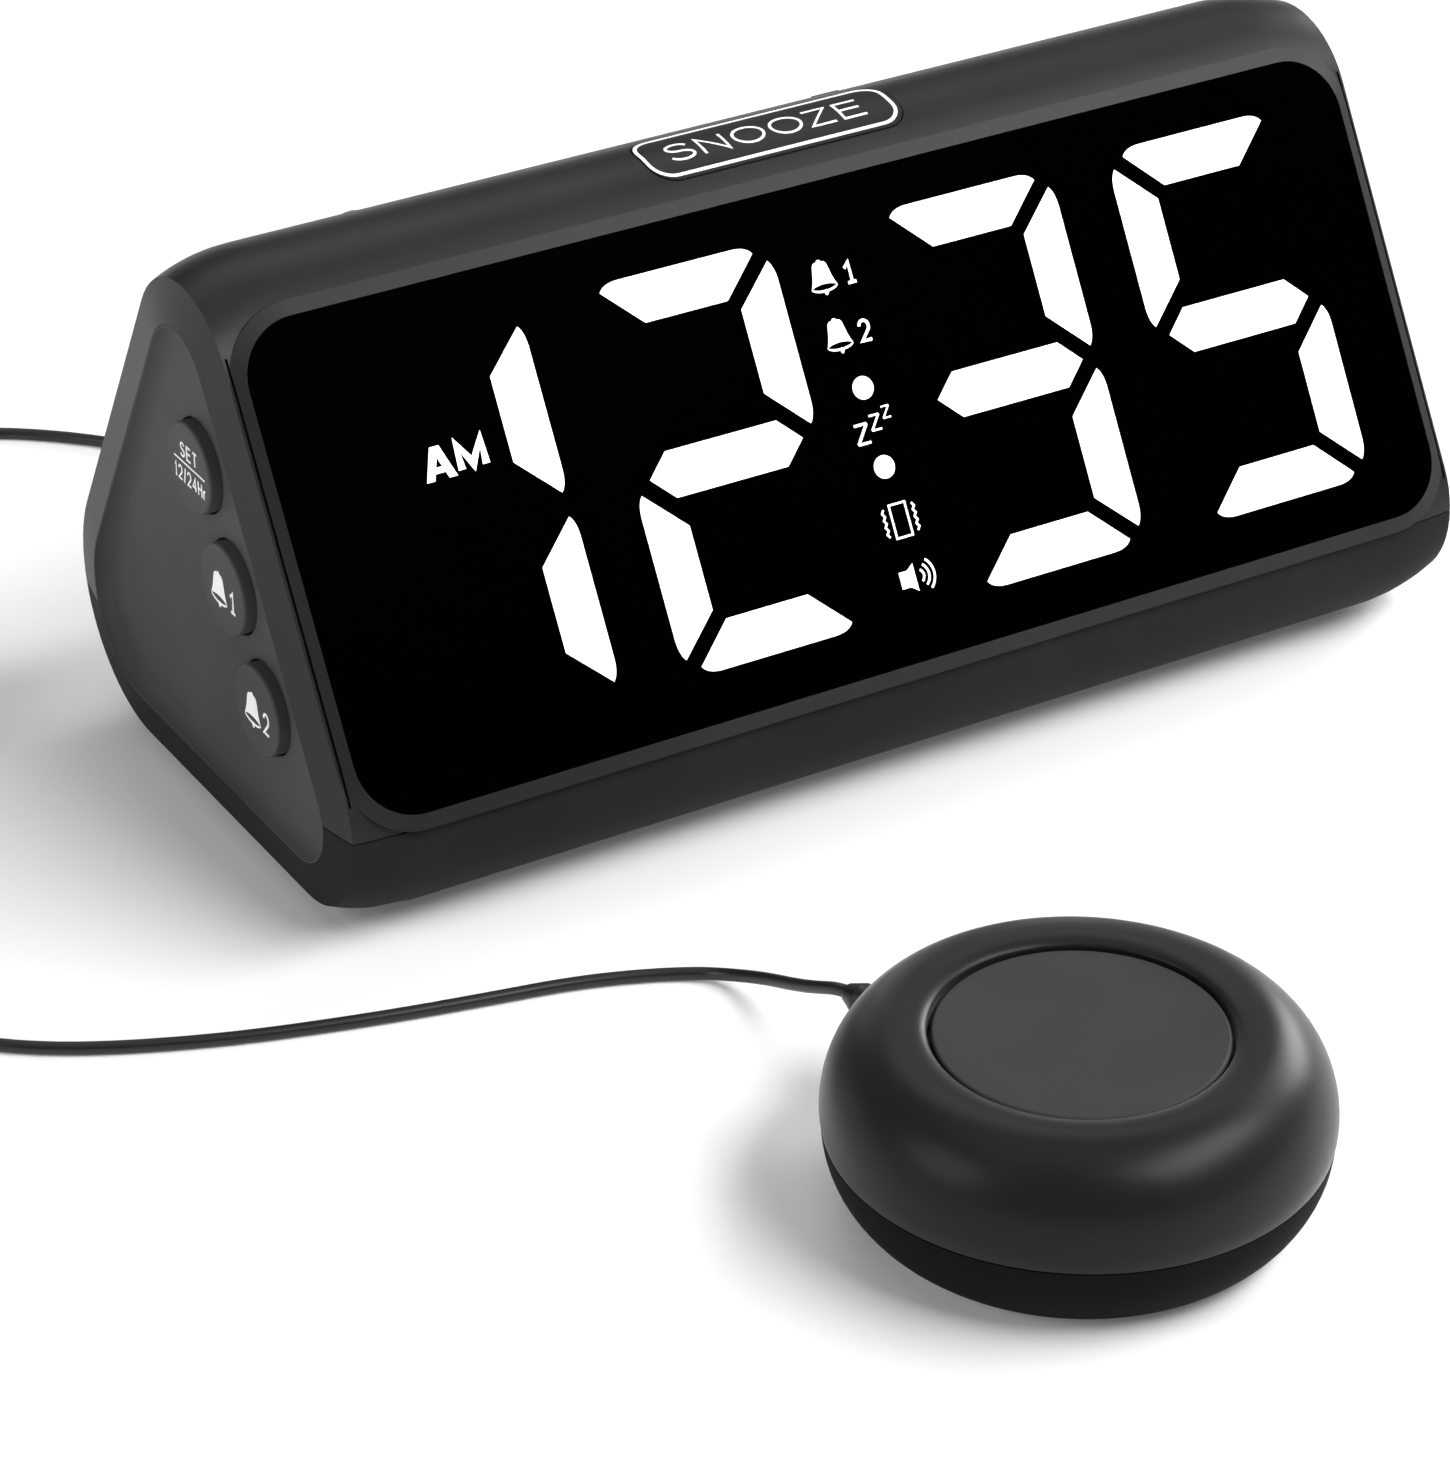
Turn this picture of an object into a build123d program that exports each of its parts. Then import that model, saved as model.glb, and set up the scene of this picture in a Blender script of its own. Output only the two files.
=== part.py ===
"""A bed shaker alarm clock: a tilted digital clock, and a round vibrating pad on a thin lead.

Millimetres. X runs along the clock to its right end, Y to its back and Z up. The origin is on the table
under the middle of the clock.
"""

import os
from math import acos, atan2, cos, pi, radians, sin, tan

from build123d import *

os.makedirs("parts", exist_ok=True)

# Clock case: a rounded triangle drawn along X, as long as its lens and a margin, with ends that draw in
LENS_W = 178.0
LENS_MARGIN = 2.3
CASE_LENGTH = LENS_W + 2 * LENS_MARGIN
CASE_DEPTH = 88.6
CASE_HEIGHT = 84.5
FRONT_TILT = 31.0
FRONT_R = 15.2
TOP_R = 15.7
REAR_R = 21.0
WALL = 2.4
END_RUN = 11.3
END_INSET = 2.5
END_WALL = 5.0
RING_WIDTH = 6.3
RING_RISE = 1.25
PARTING_Z = 18.9
SEAM = 0.2
FIT = 0.3
SNUG = 0.1

# Feet and case screws
FOOT_DIA = 10.0
FOOT_PROUD = 0.8
FOOT_SUNK = 0.8
FOOT_INSET = 10.0
FOOT_EDGE = 5.2
SCREW_DIA = 3.0
SCREW_HEAD_DIA = 5.6
SCREW_HEAD_H = 2.2
SCREW_BITE = 6.0
BOSS_DIA = 6.0
COLUMN_DIA = 8.6
BOSS_GAP_X = 0.3
FRONT_BOSS_RUN = 7.4
REAR_BOSS_RUN = 11.7
BOSS_CEILING = 14.5
SCREW_SEAT_Z = 9.45
CROSS_L = 2.8
CROSS_W = 0.75

# Display: the lens laps over the rounded edges above and below the flat front
LENS_LAP = 3.35
LENS_T = 2.0
LENS_R = 8.5
LENS_PROUD = 0.85
BEZEL_WIDTH = 2.3
BEZEL_DROP = 0.85
BEZEL_DEPTH = 3.0
GROOVE_IN = 0.35
GROOVE_W = 0.35
GROOVE_DEPTH = 0.6
WINDOW_SIDE = 9.0
WINDOW_EDGE = 5.05
REFLECTOR_T = 8.0
DIFFUSER_T = 3.0
BOARD_T = 1.6
DISPLAY_TAB_H = 44.0
DISPLAY_TAB_W = 5.0
DISPLAY_POST_DIA = 4.4
SMALL_SCREW_DIA = 2.0
SMALL_HEAD_DIA = 3.6
SMALL_HEAD_H = 1.4
SMALL_BITE = 4.0
DIGIT_SIDE = 2.0
DIGIT_GAP = 9.6
DIGIT_EDGE = 1.5
COLON_ROOM = 16.8
SEGMENT_W = 6.6
SEGMENT_GAP = 1.2
COLON_DIA = 3.6
COLON_V = 5.7
LED_SIZE = 2.2
LED_H = 1.2

# End panels, dished under the level of the end rings, and their three buttons
PANEL_SUNK = 0.6
PANEL_T = 2.2
DISH_RIM = 0.3
DISH_RUN = 2.4
PANEL_LEDGE = 3.0
BUTTON_DIA = 13.2
BUTTON_PITCH = 17.05
BUTTON_DEPTH = 20.1
BUTTON_V = 1.4
BUTTON_PROUD = 1.8
BUTTON_FLANGE = 1.1
BUTTON_FLANGE_T = 1.2
BUTTON_TRAVEL = 0.8
BUTTON_EDGE = 0.4
TACT_SIZE = 6.0
TACT_H = 2.9
TACT_STEM_DIA = 3.2
TACT_STEM_H = 1.0
SWITCH_BOARD_T = 1.2
SWITCH_BOARD_D = 26.0
SWITCH_BOARD_MARGIN = 4.95
PANEL_POST_DIA = 4.0
PANEL_POST_V = 32.0

# Snooze bar on the ridge and mode slider behind it
SNOOZE_L = 41.2
SNOOZE_W = 10.8
SNOOZE_R = 3.7
SNOOZE_GAP = 0.2
SNOOZE_LEAN = 7.0
SNOOZE_PROUD = 0.1
SNOOZE_FLANGE = 1.4
SNOOZE_FLANGE_T = 1.2
SNOOZE_TRAVEL = 1.0
RIB_T = 3.0
RIB_W = 8.0
SLIDER_X = 18.1
SLIDER_LEAN = 52.0
SLIDER_L = 5.0
SLIDER_W = 3.2
SLIDER_PROUD = 1.2
SLIDER_TRAVEL = 2.5
SLIDER_FLANGE = 1.4
SLIDER_FLANGE_T = 1.0
SLIDE_SWITCH_L = 12.0
SLIDE_SWITCH_H = 2.6

# Back wall: speaker and sockets
SPEAKER_X = 45.0
SPEAKER_DIA = 36.0
SPEAKER_FLANGE_T = 2.0
SPEAKER_RIM = 3.5
SPEAKER_BASKET_H = 7.0
MAGNET_DIA = 20.0
MAGNET_H = 6.0
CONE_T = 0.6
GRILLE_HOLE = 2.2
GRILLE_PITCH = 4.6
GRILLE_RINGS = 2
DC_X = 8.0
SOCKET_V = -14.0
DC_BORE = 6.4
DC_BODY = 11.0
DC_BODY_L = 14.0
DC_PIN = 2.0
JACK_X = -32.0
JACK_BORE = 3.6
JACK_BODY = 8.0
JACK_BODY_L = 15.0

# Main board
MAIN_BOARD_X = 120.0
MAIN_BOARD_Y = 42.0
MAIN_BOARD_Z = 12.0
BOARD_POST_DIA = 6.0
BOARD_EDGE = 4.0
CHIP_SIZE = 10.0
CHIP_H = 1.8
DRIVER_L = 6.0
DRIVER_W = 4.0
DRIVER_PLACES = ((-24.0, 6.0), (22.0, -8.0))
CONNECTOR_L = 14.0
CONNECTOR_W = 5.0
CONNECTOR_PLACES = ((-40.0, -10.0), (40.0, 10.0))
CAPACITOR_DIA = 5.0
CAPACITOR_H = 5.0
CAPACITOR_PLACES = ((-30.0, -8.0), (-22.0, -8.0), (32.0, 4.0))

# Backup cell and its sliding door
DOOR_X = 30.0
DOOR_W = 28.0
DOOR_FLARE = 1.2
DOOR_T = 1.6
DOOR_FRONT_Y = -16.0
CELL_DIA = 20.0
CELL_T = 3.2
CELL_Y = -2.0
CELL_WALL = 2.6
CONTACT_T = 0.4
CONTACT_DIA = 12.0

# Bed shaker
SHAKER_X = -37.6
SHAKER_Y = -137.0
SHAKER_R = 32.6
SHAKER_WIDE_Z = 13.7
SHAKER_CREST_R = 22.4
SHAKER_CREST_Z = 25.9
SHAKER_SEAM_Z = 11.4
SHAKER_SEAM_R = 32.35
SHAKER_BELLY_R = 30.6
SHAKER_BELLY_Z = 5.0
SHAKER_FOOT_R = 27.0
SHAKER_LIFT = 0.8
SHAKER_WALL = 2.2
DISC_R = 18.8
DISC_GROOVE = 0.5
DISC_T = 2.2
DISC_SUNK = 1.0
DISC_LEDGE = 2.6
SHAKER_PAD_R = 19.0
SHAKER_PAD_W = 4.0
SHAKER_PAD_SUNK = 0.8
SHAKER_BOSS_R = 22.4
SHAKER_BOSS_Z = 8.8
SHAKER_BOSS_TURN = 30.0
MOTOR_DIA = 15.0
MOTOR_L = 20.0
MOTOR_AXIS_Z = 12.4
MOTOR_SHIFT = -8.0
SHAFT_DIA = 2.0
SHAFT_SUNK = 4.0
WEIGHT_R = 7.4
WEIGHT_L = 8.0
WEIGHT_GAP = 3.0
CLAMP_T = 1.4
CLAMP_L = 12.0
CLAMP_FOOT = 6.0
CLAMP_RISE = 3.0

# Lead of the shaker: measures, and the points of its two loose stretches
LEAD_DIA = 1.8
LEAD_EXIT = 7.0
RELIEF_TURN = 103.7
RELIEF_Z = 11.6
RELIEF_DIA = 4.7
RELIEF_TIP_DIA = 2.6
RELIEF_BLOCK_L = 5.4
RELIEF_L = 7.8
RELIEF_EXIT = 2.2
PLUG_DIA = 7.0
PLUG_L = 14.0
PLUG_TAIL_L = 8.0
PLUG_TAIL_DIA = 3.2
PLUG_PIN_DIA = 3.4
PLUG_PIN_L = 11.0
COIL_X = -127.0
COIL_Y = 46.0
COIL_OUTER_R = 15.6
COIL_PITCH = 2.6
COIL_LOOPS = (4, 4, 4, 3.5)
COIL_CLIMB = 0.5
COIL_LIFT = 0.75
TIE_T = 0.5
TIE_GAP = 0.25
TIE_W = 5.0

# Everything below is worked out from the sizes above
tilt = radians(FRONT_TILT)
OUT = Vector(0, -cos(tilt), sin(tilt))
UP = Vector(0, sin(tilt), cos(tilt))
front_corner = Vector(0, -CASE_DEPTH / 2 + FRONT_R, FOOT_PROUD + FRONT_R)
rear_corner = Vector(0, CASE_DEPTH / 2 - REAR_R, FOOT_PROUD + REAR_R)
front_line = front_corner.dot(OUT) + FRONT_R
top_z = CASE_HEIGHT - TOP_R
top_corner = Vector(0, (top_z * sin(tilt) - front_line + TOP_R) / cos(tilt), top_z)
CORNERS = ((front_corner, FRONT_R), (rear_corner, REAR_R), (top_corner, TOP_R))

# The middle of the flat front, about which the ends draw in, and the planes of the lens and the back
front_middle = (front_corner + OUT * FRONT_R + top_corner + OUT * TOP_R) * 0.5
LENS_PLANE = Plane(origin=front_middle + OUT * LENS_PROUD, x_dir=(1, 0, 0), z_dir=OUT)
rise = top_corner - rear_corner
rear_lean = atan2(rise.Z, rise.Y) - acos((REAR_R - TOP_R) / rise.length)
BACK = Vector(0, cos(rear_lean), sin(rear_lean))
back_middle = (rear_corner + BACK * REAR_R + top_corner + BACK * TOP_R) * 0.5
BACK_PLANE = Plane(origin=back_middle, x_dir=(-1, 0, 0), z_dir=BACK)

# Sizes of the lens, its window and the digits, which follow the front
LENS_H = (top_corner - front_corner).dot(UP) + 2 * LENS_LAP
WINDOW_W = LENS_W - 2 * WINDOW_SIDE
WINDOW_H = LENS_H - 2 * WINDOW_EDGE
DIGIT_W = (WINDOW_W - 2 * DIGIT_SIDE - 2 * DIGIT_GAP - COLON_ROOM) / 4
DIGIT_H = WINDOW_H - 2 * DIGIT_EDGE
inner_digit = (COLON_ROOM + DIGIT_W) / 2
outer_digit = inner_digit + DIGIT_W + DIGIT_GAP
DIGIT_X = (-outer_digit, -inner_digit, inner_digit, outer_digit)

CREASE_X = CASE_LENGTH / 2
PANEL_X = CREASE_X - PANEL_SUNK
dish_depth = PANEL_SUNK + RING_RISE
STRAIGHT_X = CREASE_X - END_RUN
CAVITY_X = CREASE_X - END_WALL
END_SCALE = 1 - END_INSET / (front_middle.Z - FOOT_PROUD)
FLOOR_Z = FOOT_PROUD + WALL


def case_face(x, scale=1.0, inset=0.0):
    """The case's section at x, drawn in about the middle of the front, with its outline set inwards."""
    with BuildSketch(Plane.YZ.offset(x)) as face:
        for corner, radius in CORNERS:
            centre = front_middle + (corner - front_middle) * scale
            with Locations((centre.Y, centre.Z)):
                Circle(scale * radius - inset)
        make_hull()
    return face.sketch


def end_stations(side):
    """Three sections of a case end, drawn in along a parabola."""
    faces = []
    for share in (0.0, 0.5, 1.0):
        faces.append(case_face(side * (STRAIGHT_X + share * END_RUN), 1 - (1 - END_SCALE) * share**2))
    return faces


def case_block():
    """The outside of the whole case as one block."""
    with BuildPart() as block:
        extrude(case_face(-STRAIGHT_X), amount=2 * STRAIGHT_X)
        for side in (-1, 1):
            loft(end_stations(side))
            crease = case_face(side * CREASE_X, END_SCALE)
            lip = case_face(side * (CREASE_X + RING_RISE), END_SCALE, RING_WIDTH)
            loft([crease, lip], ruled=True)
    return block.part


def case_hollow():
    """The room inside the case, with the stepped opening of each end panel."""
    with BuildPart() as hollow:
        extrude(case_face(-CAVITY_X, inset=WALL), amount=2 * CAVITY_X)
        for side in (-1, 1):
            inner = case_face(side * (CAVITY_X - 1), END_SCALE, RING_WIDTH + PANEL_LEDGE)
            extrude(inner, amount=side * (1 + PANEL_X - PANEL_T - CAVITY_X))
            outer = case_face(side * (PANEL_X - PANEL_T), END_SCALE, RING_WIDTH)
            extrude(outer, amount=side * 2 * PANEL_T)
    return hollow.part


def dish_stations(side):
    """Three sections of the dish in an end panel, whose side rises to the ring along a parabola."""
    faces = []
    for share in (0.0, 0.5, 1.0):
        inset = RING_WIDTH + DISH_RIM + (1 - share) * DISH_RUN
        faces.append(case_face(side * (PANEL_X + dish_depth * share**2), END_SCALE, inset))
    return faces


def end_plane(side, x):
    """A plane across a case end: its local x runs back from the lens, and its z points out of the end."""
    return Plane(origin=LENS_PLANE.origin + Vector(side * x, 0, 0), x_dir=-OUT, z_dir=(side, 0, 0))


def ridge_plane(x, lean, height):
    """A plane above the ridge's axis, leaning to the back, at a height along its own normal."""
    normal = Vector(0, sin(radians(lean)), cos(radians(lean)))
    return Plane(origin=top_corner + normal * height + Vector(x, 0, 0), x_dir=(1, 0, 0), z_dir=normal)


CASE_BLOCK = case_block()
CASE_HOLLOW = case_hollow()

# Places of screws, feet and board posts
boss_x = CAVITY_X - BOSS_GAP_X - BOSS_DIA / 2
boss_rows = (front_corner.Y - FRONT_BOSS_RUN, rear_corner.Y + REAR_BOSS_RUN)
BOSS_PLACES = [(side * boss_x, y) for side in (-1, 1) for y in boss_rows]
flat_middle_y = (front_corner.Y + rear_corner.Y) / 2
flat_depth = rear_corner.Y - front_corner.Y
FOOT_PLACES = GridLocations(2 * (STRAIGHT_X - FOOT_INSET), flat_depth - 2 * FOOT_EDGE, 2, 2)
FOOT_PLANE = Plane(origin=(0, flat_middle_y, 0))
POST_PLACES = GridLocations(MAIN_BOARD_X - 2 * BOARD_EDGE, MAIN_BOARD_Y - 2 * BOARD_EDGE, 2, 2)

# Depths of the display, measured back from the lens's face
board_front = LENS_T + REFLECTOR_T
board_back = board_front + BOARD_T
display_w = WINDOW_W - 2 * FIT
display_h = WINDOW_H - 2 * FIT
DISPLAY_POSTS = GridLocations(display_w + DISPLAY_TAB_W, DISPLAY_TAB_H - 2 * DISPLAY_TAB_W, 2, 2)

# Heights under the ridge
snooze_flange_top = ((TOP_R - WALL) ** 2 - (SNOOZE_W / 2 + SNOOZE_FLANGE) ** 2) ** 0.5 - FIT
snooze_flange_low = snooze_flange_top - SNOOZE_FLANGE_T
snooze_board_top = snooze_flange_low - SNOOZE_TRAVEL - FIT - TACT_STEM_H - TACT_H
snooze_rib_x = SNOOZE_L / 2 + SNOOZE_FLANGE + FIT + RIB_T / 2
slider_flange_top = ((TOP_R - WALL) ** 2 - (SLIDER_W / 2 + SLIDER_FLANGE) ** 2) ** 0.5 - FIT
slide_switch_top = slider_flange_top - SLIDER_FLANGE_T - FIT
slider_plate_top = slide_switch_top - SLIDE_SWITCH_H
slider_rib_x = SLIDER_L / 2 + SLIDER_FLANGE + SLIDER_TRAVEL + FIT + RIB_T / 2

# Cell door channel, cut through the floor of the base
door_low = FOOT_PROUD + SNUG
door_top = door_low + DOOR_T
channel_top = door_top + FIT
cell_low = channel_top + SNUG
cell_top = cell_low + CELL_T
well_top = cell_top + CONTACT_T


def door_section(gap):
    """The dovetail of the cell door, seen from the front, grown by a gap all round."""
    with BuildSketch(Plane.XZ.offset(-DOOR_FRONT_Y + gap)) as dovetail:
        low, high = door_low - gap, door_top + gap
        with BuildLine():
            Polyline(
                (DOOR_X - DOOR_W / 2 - gap, low),
                (DOOR_X + DOOR_W / 2 + gap, low),
                (DOOR_X + DOOR_W / 2 + DOOR_FLARE + gap, high),
                (DOOR_X - DOOR_W / 2 - DOOR_FLARE - gap, high),
                close=True,
            )
        make_face()
    return dovetail.sketch


# Upper shell: front frame, ridge, back wall and the upper part of both end rings
with BuildPart() as upper_shell:
    add(CASE_BLOCK)
    frame_w = LENS_W + 2 * BEZEL_WIDTH
    frame_h = LENS_H + 2 * BEZEL_WIDTH
    with BuildSketch(LENS_PLANE.offset(-BEZEL_DROP)) as frame_edge:
        RectangleRounded(frame_w, frame_h, LENS_R + BEZEL_WIDTH)
    extrude(amount=-BEZEL_DEPTH)
    with BuildSketch(LENS_PLANE.offset(-BEZEL_DROP), mode=Mode.PRIVATE) as frame_low:
        RectangleRounded(frame_w, frame_h, LENS_R + BEZEL_WIDTH)
    with BuildSketch(LENS_PLANE, mode=Mode.PRIVATE) as frame_high:
        RectangleRounded(LENS_W, LENS_H, LENS_R)
    loft([frame_low.sketch, frame_high.sketch], ruled=True)
    add(CASE_HOLLOW, mode=Mode.SUBTRACT)
    with BuildSketch(LENS_PLANE):
        RectangleRounded(LENS_W + 2 * SNUG, LENS_H + 2 * SNUG, LENS_R + SNUG)
    extrude(amount=-LENS_T, mode=Mode.SUBTRACT)
    with BuildSketch(LENS_PLANE):
        Rectangle(WINDOW_W, WINDOW_H)
    extrude(amount=-(LENS_T + WALL + BEZEL_DEPTH), mode=Mode.SUBTRACT)
    split(bisect_by=Plane.XY.offset(PARTING_Z), keep=Keep.TOP)
    # Thin grooves between the flat front and the end rings
    with BuildSketch(LENS_PLANE):
        with GridLocations(2 * (CREASE_X - GROOVE_IN) - GROOVE_W, 1, 2, 1):
            Rectangle(GROOVE_W, LENS_H - 2 * LENS_LAP)
    extrude(amount=-(LENS_PROUD + GROOVE_DEPTH), mode=Mode.SUBTRACT)
    # Posts for the display board, beside the window
    with BuildSketch(LENS_PLANE.offset(-LENS_T)):
        with DISPLAY_POSTS:
            Circle(DISPLAY_POST_DIA / 2)
    extrude(amount=-REFLECTOR_T)
    with BuildSketch(LENS_PLANE.offset(-board_front)):
        with DISPLAY_POSTS:
            Circle(SMALL_SCREW_DIA / 2 + SNUG)
    extrude(amount=SMALL_BITE + SNUG, mode=Mode.SUBTRACT)
    # Screw bosses, let into the sloping walls
    with BuildPart(mode=Mode.PRIVATE) as bosses:
        with BuildSketch(Plane.XY.offset(PARTING_Z)):
            with Locations(*[place for place in BOSS_PLACES if place[1] < 0]):
                Circle(BOSS_DIA / 2)
        extrude(amount=SCREW_BITE + SNUG)
        with BuildSketch(Plane.XY.offset(PARTING_Z)):
            with Locations(*[place for place in BOSS_PLACES if place[1] > 0]):
                Circle(BOSS_DIA / 2)
        extrude(amount=SCREW_BITE + BOSS_CEILING)
        add(CASE_BLOCK, mode=Mode.INTERSECT)
    add(bosses.part)
    with BuildSketch(Plane.XY.offset(PARTING_Z)):
        with Locations(*BOSS_PLACES):
            Circle(SCREW_DIA / 2 + SNUG)
    extrude(amount=SCREW_BITE, mode=Mode.SUBTRACT)
    # Opening of the snooze bar, and the ribs that carry its board
    with BuildSketch(ridge_plane(0, -SNOOZE_LEAN, snooze_flange_low)):
        RectangleRounded(SNOOZE_L + 2 * SNOOZE_GAP, SNOOZE_W + 2 * SNOOZE_GAP, SNOOZE_R + SNOOZE_GAP)
    extrude(amount=TOP_R, mode=Mode.SUBTRACT)
    with BuildSketch(ridge_plane(0, -SNOOZE_LEAN, snooze_board_top)):
        with GridLocations(2 * snooze_rib_x, 1, 2, 1):
            Rectangle(RIB_T, RIB_W)
    extrude(amount=TOP_R - WALL / 2 - snooze_board_top)
    # Slot of the mode slider, and the ribs that carry its switch
    with BuildSketch(ridge_plane(SLIDER_X, SLIDER_LEAN, slider_flange_top)):
        Rectangle(SLIDER_L + 2 * SLIDER_TRAVEL + 2 * FIT, SLIDER_W + 2 * FIT)
    extrude(amount=TOP_R, mode=Mode.SUBTRACT)
    with BuildSketch(ridge_plane(SLIDER_X, SLIDER_LEAN, slider_plate_top)):
        with GridLocations(2 * slider_rib_x, 1, 2, 1):
            Rectangle(RIB_T, SLIDER_W + 2 * SLIDER_FLANGE)
    extrude(amount=TOP_R - WALL / 2 - slider_plate_top)
    # Speaker grille and sockets in the back wall
    with BuildSketch(BACK_PLANE):
        with Locations((-SPEAKER_X, 0)):
            Circle(GRILLE_HOLE / 2)
            for ring in range(1, GRILLE_RINGS + 1):
                with PolarLocations(ring * GRILLE_PITCH, 6 * ring):
                    Circle(GRILLE_HOLE / 2)
        with Locations((-DC_X, SOCKET_V)):
            Circle(DC_BORE / 2)
        with Locations((-JACK_X, SOCKET_V)):
            Circle(PLUG_DIA / 2 + FIT)
    extrude(amount=-2 * WALL, mode=Mode.SUBTRACT)
upper_shell.part.label = "upper_shell"
export_step(upper_shell.part, "parts/upper_shell.step")

# Base cover: everything below the parting line, with screw columns, board posts and the cell well
with BuildPart() as base_cover:
    add(CASE_BLOCK)
    add(CASE_HOLLOW, mode=Mode.SUBTRACT)
    split(bisect_by=Plane.XY.offset(PARTING_Z - SEAM), keep=Keep.BOTTOM)
    with BuildPart(mode=Mode.PRIVATE) as columns:
        with BuildSketch(Plane.XY.offset(FOOT_PROUD)):
            with Locations(*BOSS_PLACES):
                Circle(COLUMN_DIA / 2)
        extrude(amount=PARTING_Z - SEAM - FOOT_PROUD)
        add(CASE_BLOCK, mode=Mode.INTERSECT)
    add(columns.part)
    with BuildSketch(Plane.XY):
        with Locations(*BOSS_PLACES):
            Circle(SCREW_DIA / 2 + SNUG)
    extrude(amount=PARTING_Z, mode=Mode.SUBTRACT)
    with BuildSketch(Plane.XY):
        with Locations(*BOSS_PLACES):
            Circle(SCREW_HEAD_DIA / 2 + SNUG)
    extrude(amount=SCREW_SEAT_Z, mode=Mode.SUBTRACT)
    with BuildSketch(FOOT_PLANE.offset(FOOT_PROUD)):
        with FOOT_PLACES:
            Circle(FOOT_DIA / 2 + SNUG)
    extrude(amount=FOOT_SUNK, mode=Mode.SUBTRACT)
    with BuildSketch(Plane.XY.offset(FLOOR_Z)):
        with POST_PLACES:
            Circle(BOARD_POST_DIA / 2)
    extrude(amount=MAIN_BOARD_Z - FLOOR_Z)
    with BuildSketch(Plane.XY.offset(MAIN_BOARD_Z)):
        with POST_PLACES:
            Circle(SMALL_SCREW_DIA / 2 + SNUG)
    extrude(amount=-SMALL_BITE - SNUG, mode=Mode.SUBTRACT)
    # Web over the door's channel, cell well, then the channel itself
    with BuildPart(mode=Mode.PRIVATE) as web:
        with BuildSketch(Plane.XY.offset(FOOT_PROUD)):
            with Locations((DOOR_X, 0)):
                Rectangle(DOOR_W + 2 * DOOR_FLARE + 4 * WALL, CASE_DEPTH)
        extrude(amount=channel_top + WALL / 2 - FOOT_PROUD)
        with BuildSketch(Plane.XY.offset(FOOT_PROUD)):
            with Locations((DOOR_X, CELL_Y)):
                Circle(CELL_DIA / 2 + FIT + CELL_WALL)
        extrude(amount=well_top + WALL / 2 - FOOT_PROUD)
        add(CASE_BLOCK, mode=Mode.INTERSECT)
    add(web.part)
    extrude(door_section(FIT), amount=-CASE_DEPTH, mode=Mode.SUBTRACT)
    with BuildSketch(Plane.XY.offset(door_top)):
        with Locations((DOOR_X, CELL_Y)):
            Circle(CELL_DIA / 2 + FIT)
    extrude(amount=well_top - door_top, mode=Mode.SUBTRACT)
base_cover.part.label = "base_cover"
export_step(base_cover.part, "parts/base_cover.step")

# Four rubber feet
with BuildPart() as feet:
    with BuildSketch(FOOT_PLANE):
        with FOOT_PLACES:
            Circle(FOOT_DIA / 2)
    extrude(amount=FOOT_PROUD + FOOT_SUNK)
    chamfer(feet.faces().group_by(Axis.Z)[0].edges(), FOOT_PROUD / 2)
feet.part.label = "feet"
export_step(feet.part, "parts/feet.step")

# Case screws, from the base up into the bosses
with BuildPart() as case_screws:
    with BuildSketch(Plane.XY.offset(SCREW_SEAT_Z)):
        with Locations(*BOSS_PLACES):
            Circle(SCREW_DIA / 2)
    extrude(amount=PARTING_Z - SCREW_SEAT_Z + SCREW_BITE - SNUG)
    with BuildSketch(Plane.XY.offset(SCREW_SEAT_Z)):
        with Locations(*BOSS_PLACES):
            Circle(SCREW_HEAD_DIA / 2)
    extrude(amount=-SCREW_HEAD_H)
    with BuildSketch(Plane.XY.offset(SCREW_SEAT_Z - SCREW_HEAD_H)):
        with Locations(*BOSS_PLACES):
            Rectangle(CROSS_L, CROSS_W)
            Rectangle(CROSS_W, CROSS_L)
    extrude(amount=SCREW_HEAD_H / 2, mode=Mode.SUBTRACT)
case_screws.part.label = "case_screws"
export_step(case_screws.part, "parts/case_screws.step")

# Display lens
with BuildPart() as display_lens:
    with BuildSketch(LENS_PLANE):
        RectangleRounded(LENS_W, LENS_H, LENS_R)
    extrude(amount=-LENS_T)
display_lens.part.label = "display_lens"
export_step(display_lens.part, "parts/display_lens.step")


def digit_segments(grow):
    """The seven bars of each digit and the two dots, each grown by a margin."""
    half = SEGMENT_W / 2 + grow
    bar_x = DIGIT_W / 2 - SEGMENT_W / 2
    bar_v = DIGIT_H / 2 - SEGMENT_W / 2
    across = bar_x - SEGMENT_GAP
    upright = bar_v / 2 - SEGMENT_GAP
    with BuildSketch(LENS_PLANE.offset(-LENS_T)) as bars:
        for digit in DIGIT_X:
            for v in (-bar_v, 0, bar_v):
                with Locations((digit, v)):
                    Polygon(*bar_points(across + grow, half), align=None)
            for x in (-bar_x, bar_x):
                for v in (-bar_v / 2, bar_v / 2):
                    with Locations((digit + x, v)):
                        Polygon(*bar_points(upright + grow, half), rotation=90, align=None)
        with GridLocations(1, 2 * COLON_V, 1, 2):
            Circle(COLON_DIA / 2 + grow)
    return bars.sketch


def bar_points(reach, half):
    """A bar with pointed ends, lying along x."""
    blunt = reach - half
    return [(-reach, 0), (-blunt, -half), (blunt, -half), (reach, 0), (blunt, half), (-blunt, half)]


# Reflector with a well for each bar, diffusers in the wells, and the LED board behind
with BuildPart() as display_reflector:
    with BuildSketch(LENS_PLANE.offset(-LENS_T)):
        Rectangle(display_w, display_h)
    extrude(amount=-REFLECTOR_T)
    extrude(digit_segments(SNUG), amount=-REFLECTOR_T, mode=Mode.SUBTRACT)
display_reflector.part.label = "display_reflector"
export_step(display_reflector.part, "parts/display_reflector.step")

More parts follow.
